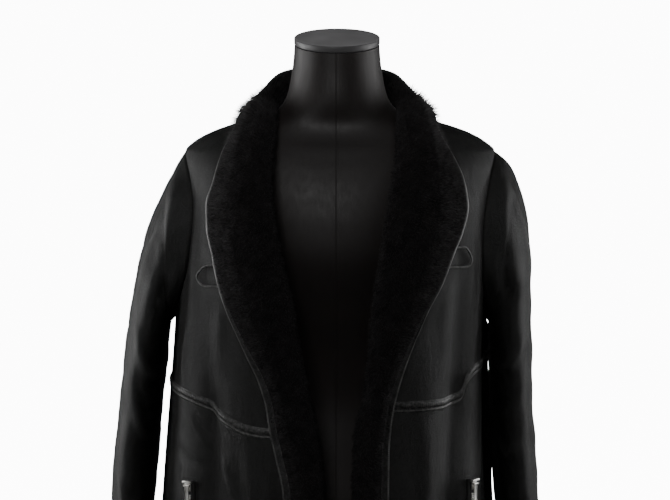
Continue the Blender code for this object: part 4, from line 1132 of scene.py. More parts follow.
def make_back():
    """The back in one piece; its two halves are worked out and then joined down the middle."""
    wide = 0.25
    straight = ARMHOLE_LOW_Z - HEM_Z
    z = np.concatenate([HEM_Z + straight * edged(76, straight)[:-2], armhole_heights(54),
                        shoulder_heights(22)])[:, None]
    share = edged(43, wide)[:-2]
    share = share / share[-1]
    distance = np.minimum(np.minimum(share[None, :] * wide, z - HEM_Z), below_neck(z))
    halves = []
    for side in (RIGHT, LEFT):
        angle = back_side_angle(z) + (math.pi - back_side_angle(z)) * share[None, :]
        halves.append(panel_wall(side, angle, z, distance))
    leather_panel("back_panel", "back", *(np.concatenate([right, left[:, -2::-1]], axis=1)
                                          for right, left in zip(*halves)))


def course_on_body(side, angle, z):
    """A seam line on the body: its points and the leather's normals."""
    return body_points(side, angle, z), plain_normals(side, angle, z)


def sew(name, courses):
    """Stitches along seam lines, riding with the jacket."""
    look = bpy.context.scene.jacket_sewing
    made = stitch_rows(name, courses, kept("black_thread"), look.pitch,
                       STITCH_SHARE * look.pitch, look.thread_radius)
    settle(made)


def body_seam_courses(side):
    """Topstitching of a side: armhole and shoulder."""
    z = armhole_heights(160)[6:-6]
    inside = SEAM_MARGIN
    front = angle_at_depth("front", armhole_depth(ARMHOLE_FRONT, z) + inside, z)
    back = math.pi - angle_at_depth("back", armhole_depth(ARMHOLE_BACK, z) + inside, z)
    courses = [course_on_body(side, front, z), course_on_body(side, back, z)]
    z = np.linspace(ARMHOLE_TOP_Z + 0.002, NECK_Z - 0.001, 90)
    shoulder = math.pi - angle_at_depth("back", SHOULDER_MARGIN, z)
    courses.append(course_on_body(side, shoulder, z))
    return courses


def hem_course(side):
    count = 260
    z = np.full(count, HEM_Z + HEM_MARGIN)
    start = front_angle(side, z[0], 0.03)
    return course_on_body(side, np.linspace(start, math.pi, count), z)


# ---------------------------------------------------------------- seam bands
def make_seam_band(side, word):
    """The stitched band over the curved seam: a puffed, gathered upper ridge and a thin edge."""
    rows, columns = 21, 250
    upper_stitches, lower_stitches = rows - 3, 6
    share = np.linspace(0.0, 1.0, columns)[None, :]
    up = np.linspace(-1.0, 1.0, rows)[:, None]
    from_seam = up * BAND_HEIGHT / 2.0 - BAND_DROP
    z = np.full((rows, columns), 0.5)
    for _ in range(SEAM_ROUNDS):
        start = angle_at_x(side, FREE_EDGE.at(side_column(side), z) + 0.0006, z)
        angle = start + (front_side_angle(z) - start) * share
        z = seam_z(side, np.abs(plain_points(side, angle, z)[..., 0])) + from_seam
    line = plain_points(side, angle[rows // 2], z[rows // 2])
    run = np.concatenate([[0.0], np.cumsum(np.linalg.norm(np.diff(line, axis=0), axis=1))])
    upper = np.exp(-((up - 0.30) / 0.46) ** 4)
    lower = np.exp(-((up + 0.72) / 0.12) ** 2)
    lumps = bumpy(line, 0.018, 4)[None, :]
    pucker = np.sin(run * 2.0 * math.pi / PUCKER_PITCH)[None, :]
    pucker = pucker * np.clip(0.75 + 0.6 * lumps, 0.2, 1.2)
    rise = 0.0003 + BAND_THICK * (upper * (1.15 + 0.22 * pucker + 0.12 * lumps) + 0.60 * lower)
    rise = rise * (1.0 - 0.85 * np.abs(up) ** 12)
    under = body_points(side, angle, z, 0.0002)
    over = body_points(side, angle, z, 0.0004 + rise)
    # Painted highlight: a light line along the band's thin lower edge and light puckers on its
    # upper ridge, dimmer towards the collar's free edge.
    shine = 0.60 * lower * (1.0 + 0.3 * lumps) + upper * np.clip(0.10 + 0.22 * pucker, 0.0, 1.0)
    shine *= 0.45 + 0.55 * smooth_step(share / 0.30)
    made = shell("seam_band_strip_" + word, under, over, kept("trim_leather"),
                 wear_and_shine=np.clip(shine, 0.0, 1.0))
    settle(made, "seam_band_" + word)
    courses = [(body_points(side, angle[i], z[i], 0.0004 + rise[i]),
                plain_normals(side, angle[i], z[i])) for i in (upper_stitches, lower_stitches)]
    sew("seam_band_stitches_" + word, courses)


# ---------------------------------------------------------------- sleeves
SLEEVE_POWER = 2.3
SLEEVE_SIDES = 110
SLEEVE_PARTS = 11
CUFF_STITCHES = (0.0125, 0.0155)


def armhole_ring(side, turn):
    """The sleeve's sewn edge inside the armhole; turn runs from the top over the front."""
    middle_z = (ARMHOLE_TOP_Z + ARMHOLE_LOW_Z) / 2.0
    z = middle_z + (ARMHOLE_TOP_Z - ARMHOLE_LOW_Z) / 2.0 * np.cos(turn)
    angle = np.where(turn <= math.pi, front_side_angle(z), back_side_angle(z))
    rim = body_points(side, angle, z)
    ends = np.abs(np.sin(turn)) < 1e-9
    rim[ends, 1] = 0.0
    inward = np.array([0.0, 0.0, middle_z]) - rim * np.array([0.0, 1.0, 1.0])
    return rim + unit(inward) * EDGE_STEP


def sleeve_rings(side, turn):
    """The sleeve's outer face at each ring of its table, after the ring at the armhole."""
    number = np.arange(1, SLEEVE_RINGS + 1, dtype=float)
    out_z = SLEEVE.at("outer_z", number)
    if side == RIGHT:
        out_z = out_z - SLEEVE.at("right_drop", number)
    in_z = SLEEVE.at("inner_z", number)
    column = side_column(side)
    zero = np.zeros(SLEEVE_RINGS)
    outer = np.stack([BODY.at(column, out_z) + SLEEVE.at("outer_out", number), zero, out_z], -1)
    inner = np.stack([BODY.at(column, in_z) + SLEEVE.at("inner_out", number), zero, in_z], -1)
    middle = (outer + inner) / 2.0
    reach = (outer - inner) / 2.0
    bend = 2.0 / SLEEVE_POWER
    points = middle[:, None] + reach[:, None] * bent(np.cos(turn), bend)[None, :, None]
    deep = SLEEVE.at("depth", number)[:, None] * bent(np.sin(turn), bend)[None, :]
    points[..., 1] = SLEEVE.at("middle_y", number)[:, None] - deep
    points[..., 0] *= side
    return np.concatenate([armhole_ring(side, turn)[None], points])


def make_sleeve(side, word):
    turn = np.linspace(0.0, 2.0 * math.pi, SLEEVE_SIDES, endpoint=False)
    grid = refined(sleeve_rings(side, turn), SLEEVE_PARTS)
    around = np.roll(grid, -1, axis=1) - np.roll(grid, 1, axis=1)
    normals = unit(np.cross(np.gradient(grid, axis=0), around))
    centre = grid.mean(axis=1, keepdims=True)
    normals *= np.sign(((grid - centre) * normals).sum(-1).mean())
    creases = []
    for crease_side, *knots, width, rise in SLEEVE_CREASES:
        if crease_side != side:
            continue
        flat = course_of([knots[0:2], knots[2:4], knots[4:6]])
        r = np.clip(np.round(flat[:, 1] * SLEEVE_PARTS).astype(int), 0, len(grid) - 1)
        c = np.round(flat[:, 0] / 360.0 * SLEEVE_SIDES).astype(int) % SLEEVE_SIDES
        creases.append((grid[r, c], width, rise))
    number = np.linspace(0.0, SLEEVE_RINGS, len(grid))[:, None]
    held = smooth_step(number / 0.9) * smooth_step((SLEEVE_RINGS - number) / 0.8)
    lift = held * (crease_lift(grid, creases) + 0.0011 * bumpy(grid, 0.05, 21 + side))
    length = np.linalg.norm(np.diff(grid, axis=0), axis=-1).cumsum(axis=0)
    length = np.concatenate([np.zeros((1, SLEEVE_SIDES)), length])
    distance = np.minimum(length, length[-1:] - length)
    over = grid + normals * (lift + edge_drop(distance, 0.0025, 0.0011))[..., None]
    under = grid + normals * (lift - LEATHER)[..., None]
    # Worn near the cut edges, and lighter on the tops of folds and creases.
    wear_and_shine = 0.5 * np.exp(-distance / WEAR_REACH) + np.clip(lift / 0.006, 0.0, 0.6)
    leather_panel("sleeve_tube_" + word, "sleeve_" + word, under, over, wear_and_shine, ring=True)
    courses = []
    for height in CUFF_STITCHES:
        row = len(grid) - 1 - int(round(height / (length[-1].mean() / len(grid))))
        ring = np.concatenate([over[row], over[row][:1]])
        courses.append((ring, np.concatenate([normals[row], normals[row][:1]])))
    sew("cuff_stitches_" + word, courses)


# ---------------------------------------------------------------- collar and lapels
ACROSS = (0.0, 0.13, 0.34, 0.64, 1.0)
FUR_END = 0.90
STATIONS = np.arange(0.0, 4.01, 0.5)
LAPEL_TOP_Z = 0.860
LAPEL_Z = np.concatenate([np.linspace(LAPEL_TOP_Z, ARMHOLE_TOP_Z, 5),
                          np.linspace(ARMHOLE_TOP_Z, HEM_Z, 49)[1:]])
ROW_PARTS = 5
COLUMN_PARTS = 4
# The fur's rounded nose beside the neck: how far short of the skin's edge, and off the skin.
COLLAR_NOSE = ((0.0012, 0.0004), (0.0004, SEAM_GAP), (0.0016, 0.0016), (0.0010, 0.0030))
NOSE_REACH = 0.0105
FRINGE_COLUMNS = slice(-6, None)
NECK_COLUMNS = slice(4, 13)


def roll(share):
    """The lapel's crown: nothing at the fold and the free edge, highest at a third."""
    return 6.75 * share * (1.0 - share) ** 2


def lapel_place(side, z, share):
    column = side_column(side)
    edge_z = z - ROW_DIP.at("dip", z)
    fold_x = FOLD_LINE.at(column, z)
    edge_x = FREE_EDGE.at(column, edge_z) - LAPEL_FORM.at("binding", edge_z)
    return fold_x + (edge_x - fold_x) * share, z + (edge_z - z) * share


def shawl(side, across, lapel_z=LAPEL_Z):
    """The fur-side face of the shawl collar's leather, from the centre back to the hem."""
    share = np.asarray(across)[None, :]
    base = np.stack([COLLAR.at("base_" + axis, STATIONS) for axis in "xyz"], -1)[:, None]
    edge = np.stack([COLLAR.at("edge_" + axis, STATIONS) for axis in "xyz"], -1)[:, None]
    standing = base + (edge - base) * share[..., None]
    standing[..., 0] = side * np.maximum(standing[..., 0], SEAM_GAP / 2.0)
    z = np.asarray(lapel_z)[:, None]
    x, here_z = lapel_place(side, z, share)
    out = LAPEL_STANDOFF + LAPEL_FORM.at("crown", z) * roll(share)
    lapel = over_front(side, x, here_z, out)
    grid = np.concatenate([standing, lapel])
    normals = fur_side_normals(grid, side)
    bulge = COLLAR.at("crown", STATIONS)[:, None] * np.sin(math.pi * share)
    grid[:len(STATIONS)] += normals[:len(STATIONS)] * bulge[..., None]
    return grid


def fur_side_normals(grid, side):
    normals = np.cross(np.gradient(grid, axis=0), np.gradient(grid, axis=1)) * side
    normals[0, :, 0] = 0.0
    return unit(normals)


def make_collar_skin(side, word):
    grid = refined(shawl(side, np.linspace(0.0, 1.0, 22)), ROW_PARTS)
    normals = fur_side_normals(grid, side)
    under = grid - normals * COLLAR_LEATHER
    rub_and_highlight = 0.25 + 0.2 * bumpy(grid, 0.03, 6)
    made = shell("collar_skin_" + word, under, grid, kept("black_nappa"),
                 wear_and_shine=np.clip(rub_and_highlight, 0.0, 1.0))
    settle(made, "collar_leather_" + word)


def fold_frame(side, z):
    """At the front's cut edge: the point, the way off the panel and the outward normal."""
    angle = angle_at_x(side, FOLD_LINE.at(side_column(side), z), z)
    point = body_points(side, angle, z)
    normal = plain_normals(side, angle, z)
    ahead = body_points(side, angle + 0.01, z) - point
    off = -unit(ahead - normal * (ahead * normal).sum(-1, keepdims=True))
    return point, off, normal


def pile_grids(side):
    """The collar fur's lower and upper faces, nose to free edge, at the rows of the shawl."""
    grid = shawl(side, ACROSS)
    normals = fur_side_normals(grid, side)
    grid[:, -1] = grid[:, -2] + (grid[:, -1] - grid[:, -2]) * FUR_END
    reach = np.tile([NOSE_REACH, FUR_REACH, FUR_REACH, FUR_REACH, FUR_EDGE_REACH],
                    (len(grid), 1))
    count = len(STATIONS)
    reach[:count, 0] = 0.004 + 0.004 * STATIONS / 5.0
    lower = grid + normals * FUR_GAP
    upper = grid + normals * reach[..., None]
    first = grid[:count, 0]
    across = unit(grid[:count, 1] - first)
    n = normals[:count, 0]
    low_a, low_b, high_a, high_b = (first - across * short + n * up
                                    for short, up in COLLAR_NOSE)
    point, off, out = fold_frame(side, LAPEL_Z)
    growth = np.clip(0.333 + (LAPEL_TOP_Z - LAPEL_Z) / 0.027, 0.333, 1.0)[:, None]
    start = point + off * EDGE_STEP
    low_a = np.concatenate([low_a, start + out * SEAM_GAP])
    low_b = np.concatenate([low_b, start + out * (LAPEL_STANDOFF + 2.0 * SEAM_GAP)])
    high_a = np.concatenate([high_a, start + off * (0.0115 * growth) + out * 0.0005])
    high_b = np.concatenate([high_b, start + off * (0.0085 * growth)
                             + out * (0.0080 + 0.0010 * growth)])
    lower = np.concatenate([low_a[:, None], low_b[:, None], lower], axis=1)
    upper = np.concatenate([high_a[:, None], high_b[:, None], upper], axis=1)
    return lower, upper


def make_pile(name, node, lower, upper):
    """A lumpy base below the fur's reach.

    Returns the fur's skin side, the base, the ways its blades stand, and the ways across
    and down it.
    """
    look = bpy.context.scene.jacket_pile
    low = refined(refined(lower, ROW_PARTS), COLUMN_PARTS, axis=1)
    high = refined(refined(upper, ROW_PARTS), COLUMN_PARTS, axis=1)
    stand = high - low
    base = low + stand * look.base_share
    base = base + unit(stand) * (0.0007 * bumpy(base, 0.013, 7))[..., None]
    settle(shell(name + "_base", low, base, kept("black_pile")), node)
    across = unit(np.gradient(low, axis=1))
    down = unit(np.gradient(low, axis=0))
    return low, base, stand, across, down


def make_blades(name, base, stand, comb, count, seed, share=1.0, lean=0.55):
    look = bpy.context.scene.jacket_pile
    settle(blades(name, base, stand, comb, count, look.blade_length * share,
                  look.blade_width, kept("black_blades"), seed, lean))


def make_collar_pile(side, word):
    """The collar's fur, with a fringe over its free edge and one towards the neck."""
    look = bpy.context.scene.jacket_pile
    name = "collar_pile_" + word
    low, base, stand, across, down = make_pile(name, "collar_fur_" + word, *pile_grids(side))
    high = smooth_step((low[..., 2:] - 0.83) / 0.05)
    comb = across * (0.35 + 0.75 * high) + down * (0.75 - 0.6 * high)
    make_blades(name + "_blades", base, stand, comb, look.collar_blades, 31 + side)
    fringe = np.s_[:, FRINGE_COLUMNS]
    longer = 0.9 + 1.3 * smooth_step((base[fringe][..., 2] - 0.800) / 0.060)
    make_blades(name + "_fringe", base[fringe], stand[fringe], across[fringe],
                look.fringe_blades, 41 + side, longer, 1.25)
    top = ROW_PARTS * (len(STATIONS) + 3)
    ending = 1.1 - 0.85 * smooth_step((np.arange(top)[:, None] / top - 0.35) / 0.65)
    neck = np.s_[:top, NECK_COLUMNS]
    make_blades(name + "_neck_fringe", base[neck], stand[neck], -across[neck],
                look.fringe_blades // 2, 61 + side, ending, 0.8)


def make_front_pile(side, word):
    """The fur that shows inside the front's edge."""
    look = bpy.context.scene.jacket_pile
    z = np.linspace(HEM_Z, FRONT_FUR_TOP_Z, 46)
    point, off, out = fold_frame(side, z)
    start = point + off * EDGE_STEP
    edge = body_points(side, front_angle(side, z, 0.0), z, -LEATHER)
    inside = body_points(side, front_angle(side, z, 0.16), z, -LEATHER)
    tip = SEAM_GAP + FRONT_FUR_REACH
    lower = np.stack([start - out * SEAM_GAP, start - out * (LEATHER + SEAM_GAP),
                      edge - out * SEAM_GAP, inside - out * SEAM_GAP], axis=1)
    upper = np.stack([start + off * 0.0100 - out * 0.0005, start + off * 0.0070 - out * 0.0085,
                      edge - out * tip, inside - out * tip * 0.6], axis=1)
    name = "front_pile_" + word
    _, base, stand, across, down = make_pile(name, "front_fur_" + word, lower, upper)
    comb = -0.5 * down + 0.3 * across
    make_blades(name + "_blades", base, stand, comb, look.front_blades, 51 + side, 0.85)


# ---------------------------------------------------------------- bindings
RIB_Z = 0.545              # the closer rows of points, which the ribs need, start here
RIB_PITCH = 0.0026
BINDING_LAP = 0.0012
BINDING_PARTS = 8


def binding_rows(side):
    """The collar's free edge: its points, the way beyond it, its normals and widths."""
    grid = shawl(side, (0.0, ACROSS[-2], 1.0), [LAPEL_TOP_Z, 0.850, 0.840])
    normals = fur_side_normals(grid, side)
    grid, normals = refined(grid, BINDING_PARTS), unit(refined(normals, BINDING_PARTS))
    last = BINDING_PARTS * len(STATIONS)
    edge = grid[:last, -1]
    n = normals[:last, -1]
    beyond = grid[:last, -1] - grid[:last, -2]
    beyond[0, 0] = 0.0
    beyond = unit(beyond - n * (beyond * n).sum(-1, keepdims=True))
    z = np.concatenate([np.linspace(LAPEL_TOP_Z, RIB_Z, 90)[:-1],
                        np.linspace(RIB_Z, HEM_Z, 450)])
    x, here_z = lapel_place(side, z, 1.0)
    low = over_front(side, x, here_z, LAPEL_STANDOFF)
    far = over_front(side, x + 0.004, here_z, LAPEL_STANDOFF)
    n2 = plain_normals(side, angle_at_x(side, x, here_z), here_z)
    beyond2 = unit(far - low)
    n2 = unit(n2 - beyond2 * (n2 * beyond2).sum(-1, keepdims=True))
    blend_in = smooth_step((LAPEL_TOP_Z - z) / 0.012)[:, None]
    n2 = unit(n[-1] * (1.0 - blend_in) + n2 * blend_in)
    beyond2 = unit(beyond[-1] * (1.0 - blend_in) + beyond2 * blend_in)
    width = np.concatenate([np.full(last, LAPEL_FORM.at("binding", NECK_Z)),
                            LAPEL_FORM.at("binding", z)])
    height = np.concatenate([np.full(last, NECK_Z), z])
    return (np.concatenate([edge, low]), np.concatenate([beyond, beyond2]),
            np.concatenate([n, n2]), width, height)


def make_binding(side, word):
    """Leather wrapped round the free edge; grooved between its seams, and ribbed lower down."""
    edge, beyond, normals, width, z = binding_rows(side)
    run = np.concatenate([[0.0], np.cumsum(np.linalg.norm(np.diff(edge, axis=0), axis=1))])
    turn = np.concatenate([np.linspace(0.0, math.pi, 18)[:-1],
                           np.linspace(math.pi, 2.0 * math.pi, 8)[:-1]])
    half_wide = ((width + BINDING_LAP) / 2.0)[:, None]
    half_thick = BINDING_THICK / 2.0
    middle_out = half_thick - COLLAR_LEATHER - SEAM_GAP
    far = half_wide * (1.0 + bent(np.cos(turn), 0.70)[None, :]) - BINDING_LAP
    off = middle_out + half_thick * bent(np.sin(turn), 0.70)[None, :]
    top = np.clip(np.sin(turn), 0.0, 1.0)[None, :]
    lower = smooth_step((0.640 - z) / 0.03)[:, None]
    ribbed = smooth_step((0.520 - z) / 0.03)[:, None]
    groove = np.exp(-(np.cos(turn) / 0.30) ** 2)[None, :]
    off = off - top * groove * (0.0008 * lower * (1.0 - 0.6 * ribbed))
    ribs = np.sin(run * 2.0 * math.pi / RIB_PITCH)[:, None]
    off += top * ribs * (0.00022 * ribbed + 0.00003)
    lumps = bumpy(edge, 0.02, 12)[:, None]
    off += top * lumps * 0.0003
    rings = (edge[:, None] + beyond[:, None] * far[..., None] + normals[:, None] * off[..., None])
    made = swept("edge_binding_strip_" + word, rings, kept("binding_leather"))
    # Painted highlight: thin light lines on the outward half of the binding, one high up and two
    # lower down, broken in streaks.
    one = np.exp(-((np.cos(turn) - 0.45) / 0.16) ** 2)[None, :]
    two = (np.exp(-((np.cos(turn) - 0.62) / 0.12) ** 2)
           + np.exp(-((np.cos(turn) + 0.62) / 0.12) ** 2))[None, :]
    ridge = one * (1.0 - lower) + two * lower
    facing = np.clip(np.sin(turn), 0.0, 1.0)[None, :] ** 0.5
    streaks = np.clip(0.62 + 0.45 * lumps + 0.35 * ribs * ribbed, 0.05, 1.0)
    store(made, "wear_and_highlight", ridge * facing * streaks)
    settle(made, "edge_binding_" + word)
    up = middle_out + half_thick * 0.97
    courses = []
    for share, top_z in ((0.16, 1.0), (0.84, 0.66)):
        line = edge + beyond * (EDGE_STEP + (width - EDGE_STEP) * share)[:, None] + normals * up
        courses.append((line[z < top_z], normals[z < top_z]))
    sew("binding_stitches_" + word, courses)


# ---------------------------------------------------------------- loops and pockets
def make_button_loop(side, word):
    column = side_column(side)
    ends = [(FREE_EDGE.at(column, z) - 0.0022, z) for z in LOOP_ENDS[side]]
    places = np.array([ends[0]] + LOOP_COURSE[side] + [ends[1]], float)
    course = refined(over_front(side, places[:, 0], places[:, 1], LOOP_OUT), 9)
    normal = plain_normals(side, angle_at_x(side, *LOOP_PLACE), LOOP_PLACE[1])
    around = np.tile(normal, (len(course), 1))
    thick = LOOP_CORD / 2.0 * (1.0 + 0.05 * bumpy(course, 0.006, 3))
    made = tube("button_loop_cord_" + word, course, thick, around, kept("trim_leather"))
    points = np.array([corner.co for corner in made.data.vertices])
    # Painted highlight along the cord, uneven along its length.
    shine = 0.34 + 0.3 * bumpy(points, 0.005, 8)
    store(made, "wear_and_highlight", np.clip(shine, 0.0, 1.0))
    settle(made, "button_loop_" + word)


def zip_turn(side):
    angle = angle_at_x(side, ZIP_X[side], ZIP_TOP_Z)
    here = plain_points(side, angle - 0.01, ZIP_TOP_Z)
    there = plain_points(side, angle + 0.01, ZIP_TOP_Z)
    return 0.02 * ZIP_WIDTH / np.linalg.norm(there - here)


def zip_place(side, z, share, out):
    """Points on a pocket zip: share runs from -0.5 to 0.5 across its tape."""
    z, share = np.broadcast_arrays(np.asarray(z, float), np.asarray(share, float))
    angle = angle_at_x(side, ZIP_X[side], z) + share * zip_turn(side)
    return body_points(side, angle, z, out), plain_normals(side, angle, z)


def make_pocket_zip(side, word):
    """The zip's channelled tape, its teeth and bottom stop, and the stitches round it."""
    foot_z = ZIP_TOP_Z - ZIP_LENGTH
    shares, heights = zip(*ZIP_SECTION)
    share = np.array(shares + tuple(-x for x in shares[-2::-1]))
    form = np.array(heights + heights[-2::-1])
    z = np.linspace(foot_z, ZIP_TOP_Z, 90)[:, None]
    under, _ = zip_place(side, z, share, ZIP_SEAT)
    over, _ = zip_place(side, z, share, ZIP_SEAT + ZIP_THICK * form)
    tape = shell("zip_tape_" + word, under, over, kept("woven_zip_tape"))
    settle(tape, "pocket_zip_" + word)
    teeth = bmesh.new()
    channel = ZIP_SEAT + ZIP_THICK * ZIP_CHANNEL
    count = int((ZIP_LENGTH - TEETH_BELOW_TOP - TEETH_ABOVE_FOOT) / TOOTH_PITCH)
    blocks = [(ZIP_TOP_Z - TEETH_BELOW_TOP - i * TOOTH_PITCH, TOOTH_ASIDE * (1 if i % 2 else -1),
               channel + 0.0003, TOOTH_SIZE) for i in range(count)]
    blocks.append((foot_z + ZIP_STOP_HEIGHT, 0.0, channel + 0.0004, ZIP_STOP_SIZE))
    for block_z, aside, out, size in blocks:
        place = frame_at(*zip_place(side, block_z, aside, out)) @ Matrix.Diagonal((*size, 1.0))
        bmesh.ops.create_cube(teeth, size=1.0, matrix=place)
    settle(object_from(teeth, "zip_teeth_" + word))
    z = np.linspace(foot_z - ZIP_STITCH_MARGIN, ZIP_TOP_Z + ZIP_STITCH_MARGIN, 120)
    share = np.linspace(-ZIP_STITCH_SHARE, ZIP_STITCH_SHARE, 20)
    lines = [(z, share[0]), (z, share[-1]), (z[0], share), (z[-1], share)]
    sew("pocket_stitches_" + word, [zip_place(side, *line, 0.0002) for line in lines])


def frame_at(point, normal):
    """Axes at a point of the cloth: X across, -Y out of the cloth, Z up."""
    out = Vector((normal[0], normal[1], 0.0)).normalized()
    up = Vector((0.0, 0.0, 1.0))
    across = up.cross(out)
    return Matrix((
        (across.x, -out.x, up.x, point[0]),
        (across.y, -out.y, up.y, point[1]),
        (across.z, -out.z, up.z, point[2]),
        (0.0, 0.0, 0.0, 1.0),
    ))


def object_from(work, name):
    """A nickel object from the mesh under construction."""
    mesh = bpy.data.meshes.new(name)
    bmesh.ops.recalc_face_normals(work, faces=work.faces)
    work.to_mesh(mesh)
    work.free()
    mesh.materials.append(kept("polished_nickel"))
    mesh.shade_smooth()
    mesh.set_sharp_from_angle(angle=METAL_SHARP)
    return placed(name, mesh)


def rounded_block(work, centre, size, radius):
    """A block with rounded edges, added to a mesh under construction."""
    place = Matrix.Translation(centre) @ Matrix.Diagonal((*size, 1.0))
    made = bmesh.ops.create_cube(work, size=1.0, matrix=place)
    edges = list(dict.fromkeys(edge for corner in made["verts"] for edge in corner.link_edges))
    bmesh.ops.bevel(work, geom=edges, offset=radius, segments=3, profile=0.5, affect="EDGES")


def zip_frame(side):
    """The slider's axes, from the tape's top middle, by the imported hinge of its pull."""
    name = "pull_" + side_column(side) + "_swing"
    hinge = next(j for j in frame["record"]["behaviour"]["joints"] if j["name"] == name)
    out = np.array([-hinge["axis"][1], hinge["axis"][0], 0.0])
    origin = np.array(hinge["pos_m"]) - out * HINGE_OUT + (0.0, 0.0, HINGE_BELOW_TOP)
    return frame_at(origin, out)


def make_slider(side, word):
    """The slider: its cross bar, its rounded plate, two lugs and the pin."""
    lugs_x = PULL_WIDTH / 2.0 + SEAM_GAP + LUG_THICK / 2.0
    plate_depth = HINGE_OUT - EYE_RADIUS - SEAM_GAP - SLIDER_LIFT - 0.0002
    lug_depth = HINGE_OUT + PIN_RADIUS
    work = bmesh.new()
    rounded_block(work, (0.0, -SLIDER_LIFT - SLIDER_DEPTH / 2.0, -CROWN_HEIGHT / 2.0),
                  (CROWN_WIDTH, SLIDER_DEPTH, CROWN_HEIGHT), 0.0007)
    plate = (0.0, -SLIDER_LIFT - plate_depth / 2.0, -CROWN_HEIGHT - SLIDER_LENGTH / 2.0)
    rounded_block(work, plate, (SLIDER_WIDTH, plate_depth, SLIDER_LENGTH + 0.001), 0.0003)
    for x in (-lugs_x, lugs_x):
        rounded_block(work, (x, -SLIDER_LIFT - lug_depth / 2.0, -HINGE_BELOW_TOP),
                      (LUG_THICK, lug_depth, LUG_HEIGHT), 0.0004)
    bmesh.ops.create_cone(work, cap_ends=True, segments=16, radius1=PIN_RADIUS,
                          radius2=PIN_RADIUS, depth=2.0 * lugs_x,
                          matrix=HINGE_PLACE @ Matrix.Rotation(math.pi / 2.0, 4, "Y"))
    work.transform(zip_frame(side))
    made = object_from(work, "slider_cast_" + word)
    settle(made, "zip_slider_" + word)


def pull_outline(scale_x, trim):
    """The tab's outline: straight sides, a square shoulder at the eye and a round foot."""
    half = PULL_WIDTH / 2.0 * scale_x
    top = -PULL_SHOULDER - trim
    foot = -PULL_LENGTH + trim
    points = [(half, top)]
    for i in range(PULL_FOOT_POINTS):
        turn = math.pi * i / (PULL_FOOT_POINTS - 1)
        points.append((half * math.cos(turn), foot + half * 0.9 * (1.0 - math.sin(turn))))
    points.append((-half, top))
    return points


def join_rings(work, rings):
    """Faces between neighbouring rings of a mesh under construction."""
    for one, other in zip(rings[:-1], rings[1:]):
        for i in range(len(one)):
            j = (i + 1) % len(one)
            work.faces.new((one[i], one[j], other[j], other[i]))


def make_pull(side, word):
    """The pull tab: an eye round the pin and a flat tab with a raised rim."""
    half = PULL_THICK / 2.0
    work = bmesh.new()
    front = [(scale, trim, depth - half) for scale, trim, depth in PULL_SECTION]
    back = [(scale, trim, -y) for scale, trim, y in front[::-1]]
    tab = [[work.verts.new((x, y, z)) for x, z in pull_outline(scale, trim)]
           for scale, trim, y in front + back]
    join_rings(work, tab)
    work.faces.new(tab[0])
    work.faces.new(tab[-1][::-1])
    turns = np.linspace(0.0, 2.0 * math.pi, 28, endpoint=False)
    eye = [[work.verts.new((x * PULL_WIDTH / 2.0, radius * math.cos(t), radius * math.sin(t)))
            for t in turns] for x, radius in EYE_SECTION]
    join_rings(work, eye + eye[:1])
    work.transform(zip_frame(side) @ HINGE_PLACE)
    made = object_from(work, "pull_tab_" + word)
    settle(made, "zip_pull_" + word, "pull_" + word)


# ---------------------------------------------------------------- the dress form
FORM_SIDES = 168
FORM_ROUNDS = 170          # rounds of smoothing where the neck rises from the shoulders
CAP_SIDES = 96
# The neck cap's section: how far short of its full radius, and how far below its top.
CAP_SECTION = ((0.010, 0.0), (0.0030, 0.0), (0.0012, 0.0001), (0.0004, 0.0005), (0.0, 0.0013),
               (0.0, 0.0077), (0.0004, 0.0085), (0.0012, 0.0089), (0.0030, 0.0090),
               (0.010, 0.0090))


def form_rings():
    """The form's rings from its underside to the top of its neck."""
    turn = np.linspace(0.0, 2.0 * math.pi, FORM_SIDES, endpoint=False)
    rings = []

    def ring(z, width, front, back, power):
        bend = 2.0 / power
        depth = np.where(np.cos(turn) >= 0.0, -front, back)
        y = depth * np.abs(np.cos(turn)) ** bend
        return np.stack([width * bent(np.sin(turn), bend), y, np.full(FORM_SIDES, z)], axis=-1)

    for row in FORM.rows:
        rings.append(ring(*row))
    for z, front in FORM_SHOULDER.rows:
        width = min(BODY.at("left", z), BODY.at("right", z)) - 0.001
        rings.append(ring(z - SHOULDER_DROP, width, front, BODY.at("back", z) * 0.97,
                          BODY.at("power", z)))
    neck = []
    for z, width, depth, share in NECK.rows:
        tilt = NECK_TILT * share
        y = -depth * np.cos(turn)
        neck.append(np.stack([width * np.sin(turn), y * math.cos(tilt),
                              z + y * math.sin(tilt)], axis=-1))
    body, neck = refined(np.array(rings), 5), refined(np.array(neck), 6)
    step = np.linspace(0.0, 1.0, 9)[1:-1, None, None]
    both = np.concatenate([body, body[-1] + (neck[0] - body[-1]) * step, neck])
    joint = len(body) + 3
    near = np.exp(-((np.arange(len(both)) - joint) / 15.0) ** 4)[:, None, None]
    front = (0.15 + 0.85 * smooth_step((np.cos(turn) + 0.2) / 0.6))[None, :, None]
    for _ in range(FORM_ROUNDS):
        eased = both.copy()
        eased[1:-1] = (both[:-2] + 2.0 * both[1:-1] + both[2:]) / 4.0
        both = both + (eased - both) * near * front
    return both


def cap_rings():
    """The neck's flat cap with its edges rounded over."""
    turn = np.linspace(0.0, 2.0 * math.pi, CAP_SIDES, endpoint=False)
    rings = []
    for short, down in CAP_SECTION:
        radius = CAP_RADIUS - short
        x, y = radius * np.sin(turn), -radius * np.cos(turn)
        tilted_y = y * math.cos(NECK_TILT) + down * math.sin(NECK_TILT)
        tilted_z = CAP_TOP_Z + y * math.sin(NECK_TILT) - down * math.cos(NECK_TILT)
        rings.append(np.stack([x, tilted_y, tilted_z], axis=-1))
    return np.array(rings)


def make_form_cover():
    settle(swept("form_cover", form_rings(), kept("black_satin_cover")),
           "form_torso")
    settle(swept("neck_cap_disc", cap_rings(), kept("cap_plastic")),
           "form_neck_cap")
    for node in ("form_pole", "form_base"):
        for slot in frame["nodes"][node].material_slots:
            slot.material = kept("stand_paint")


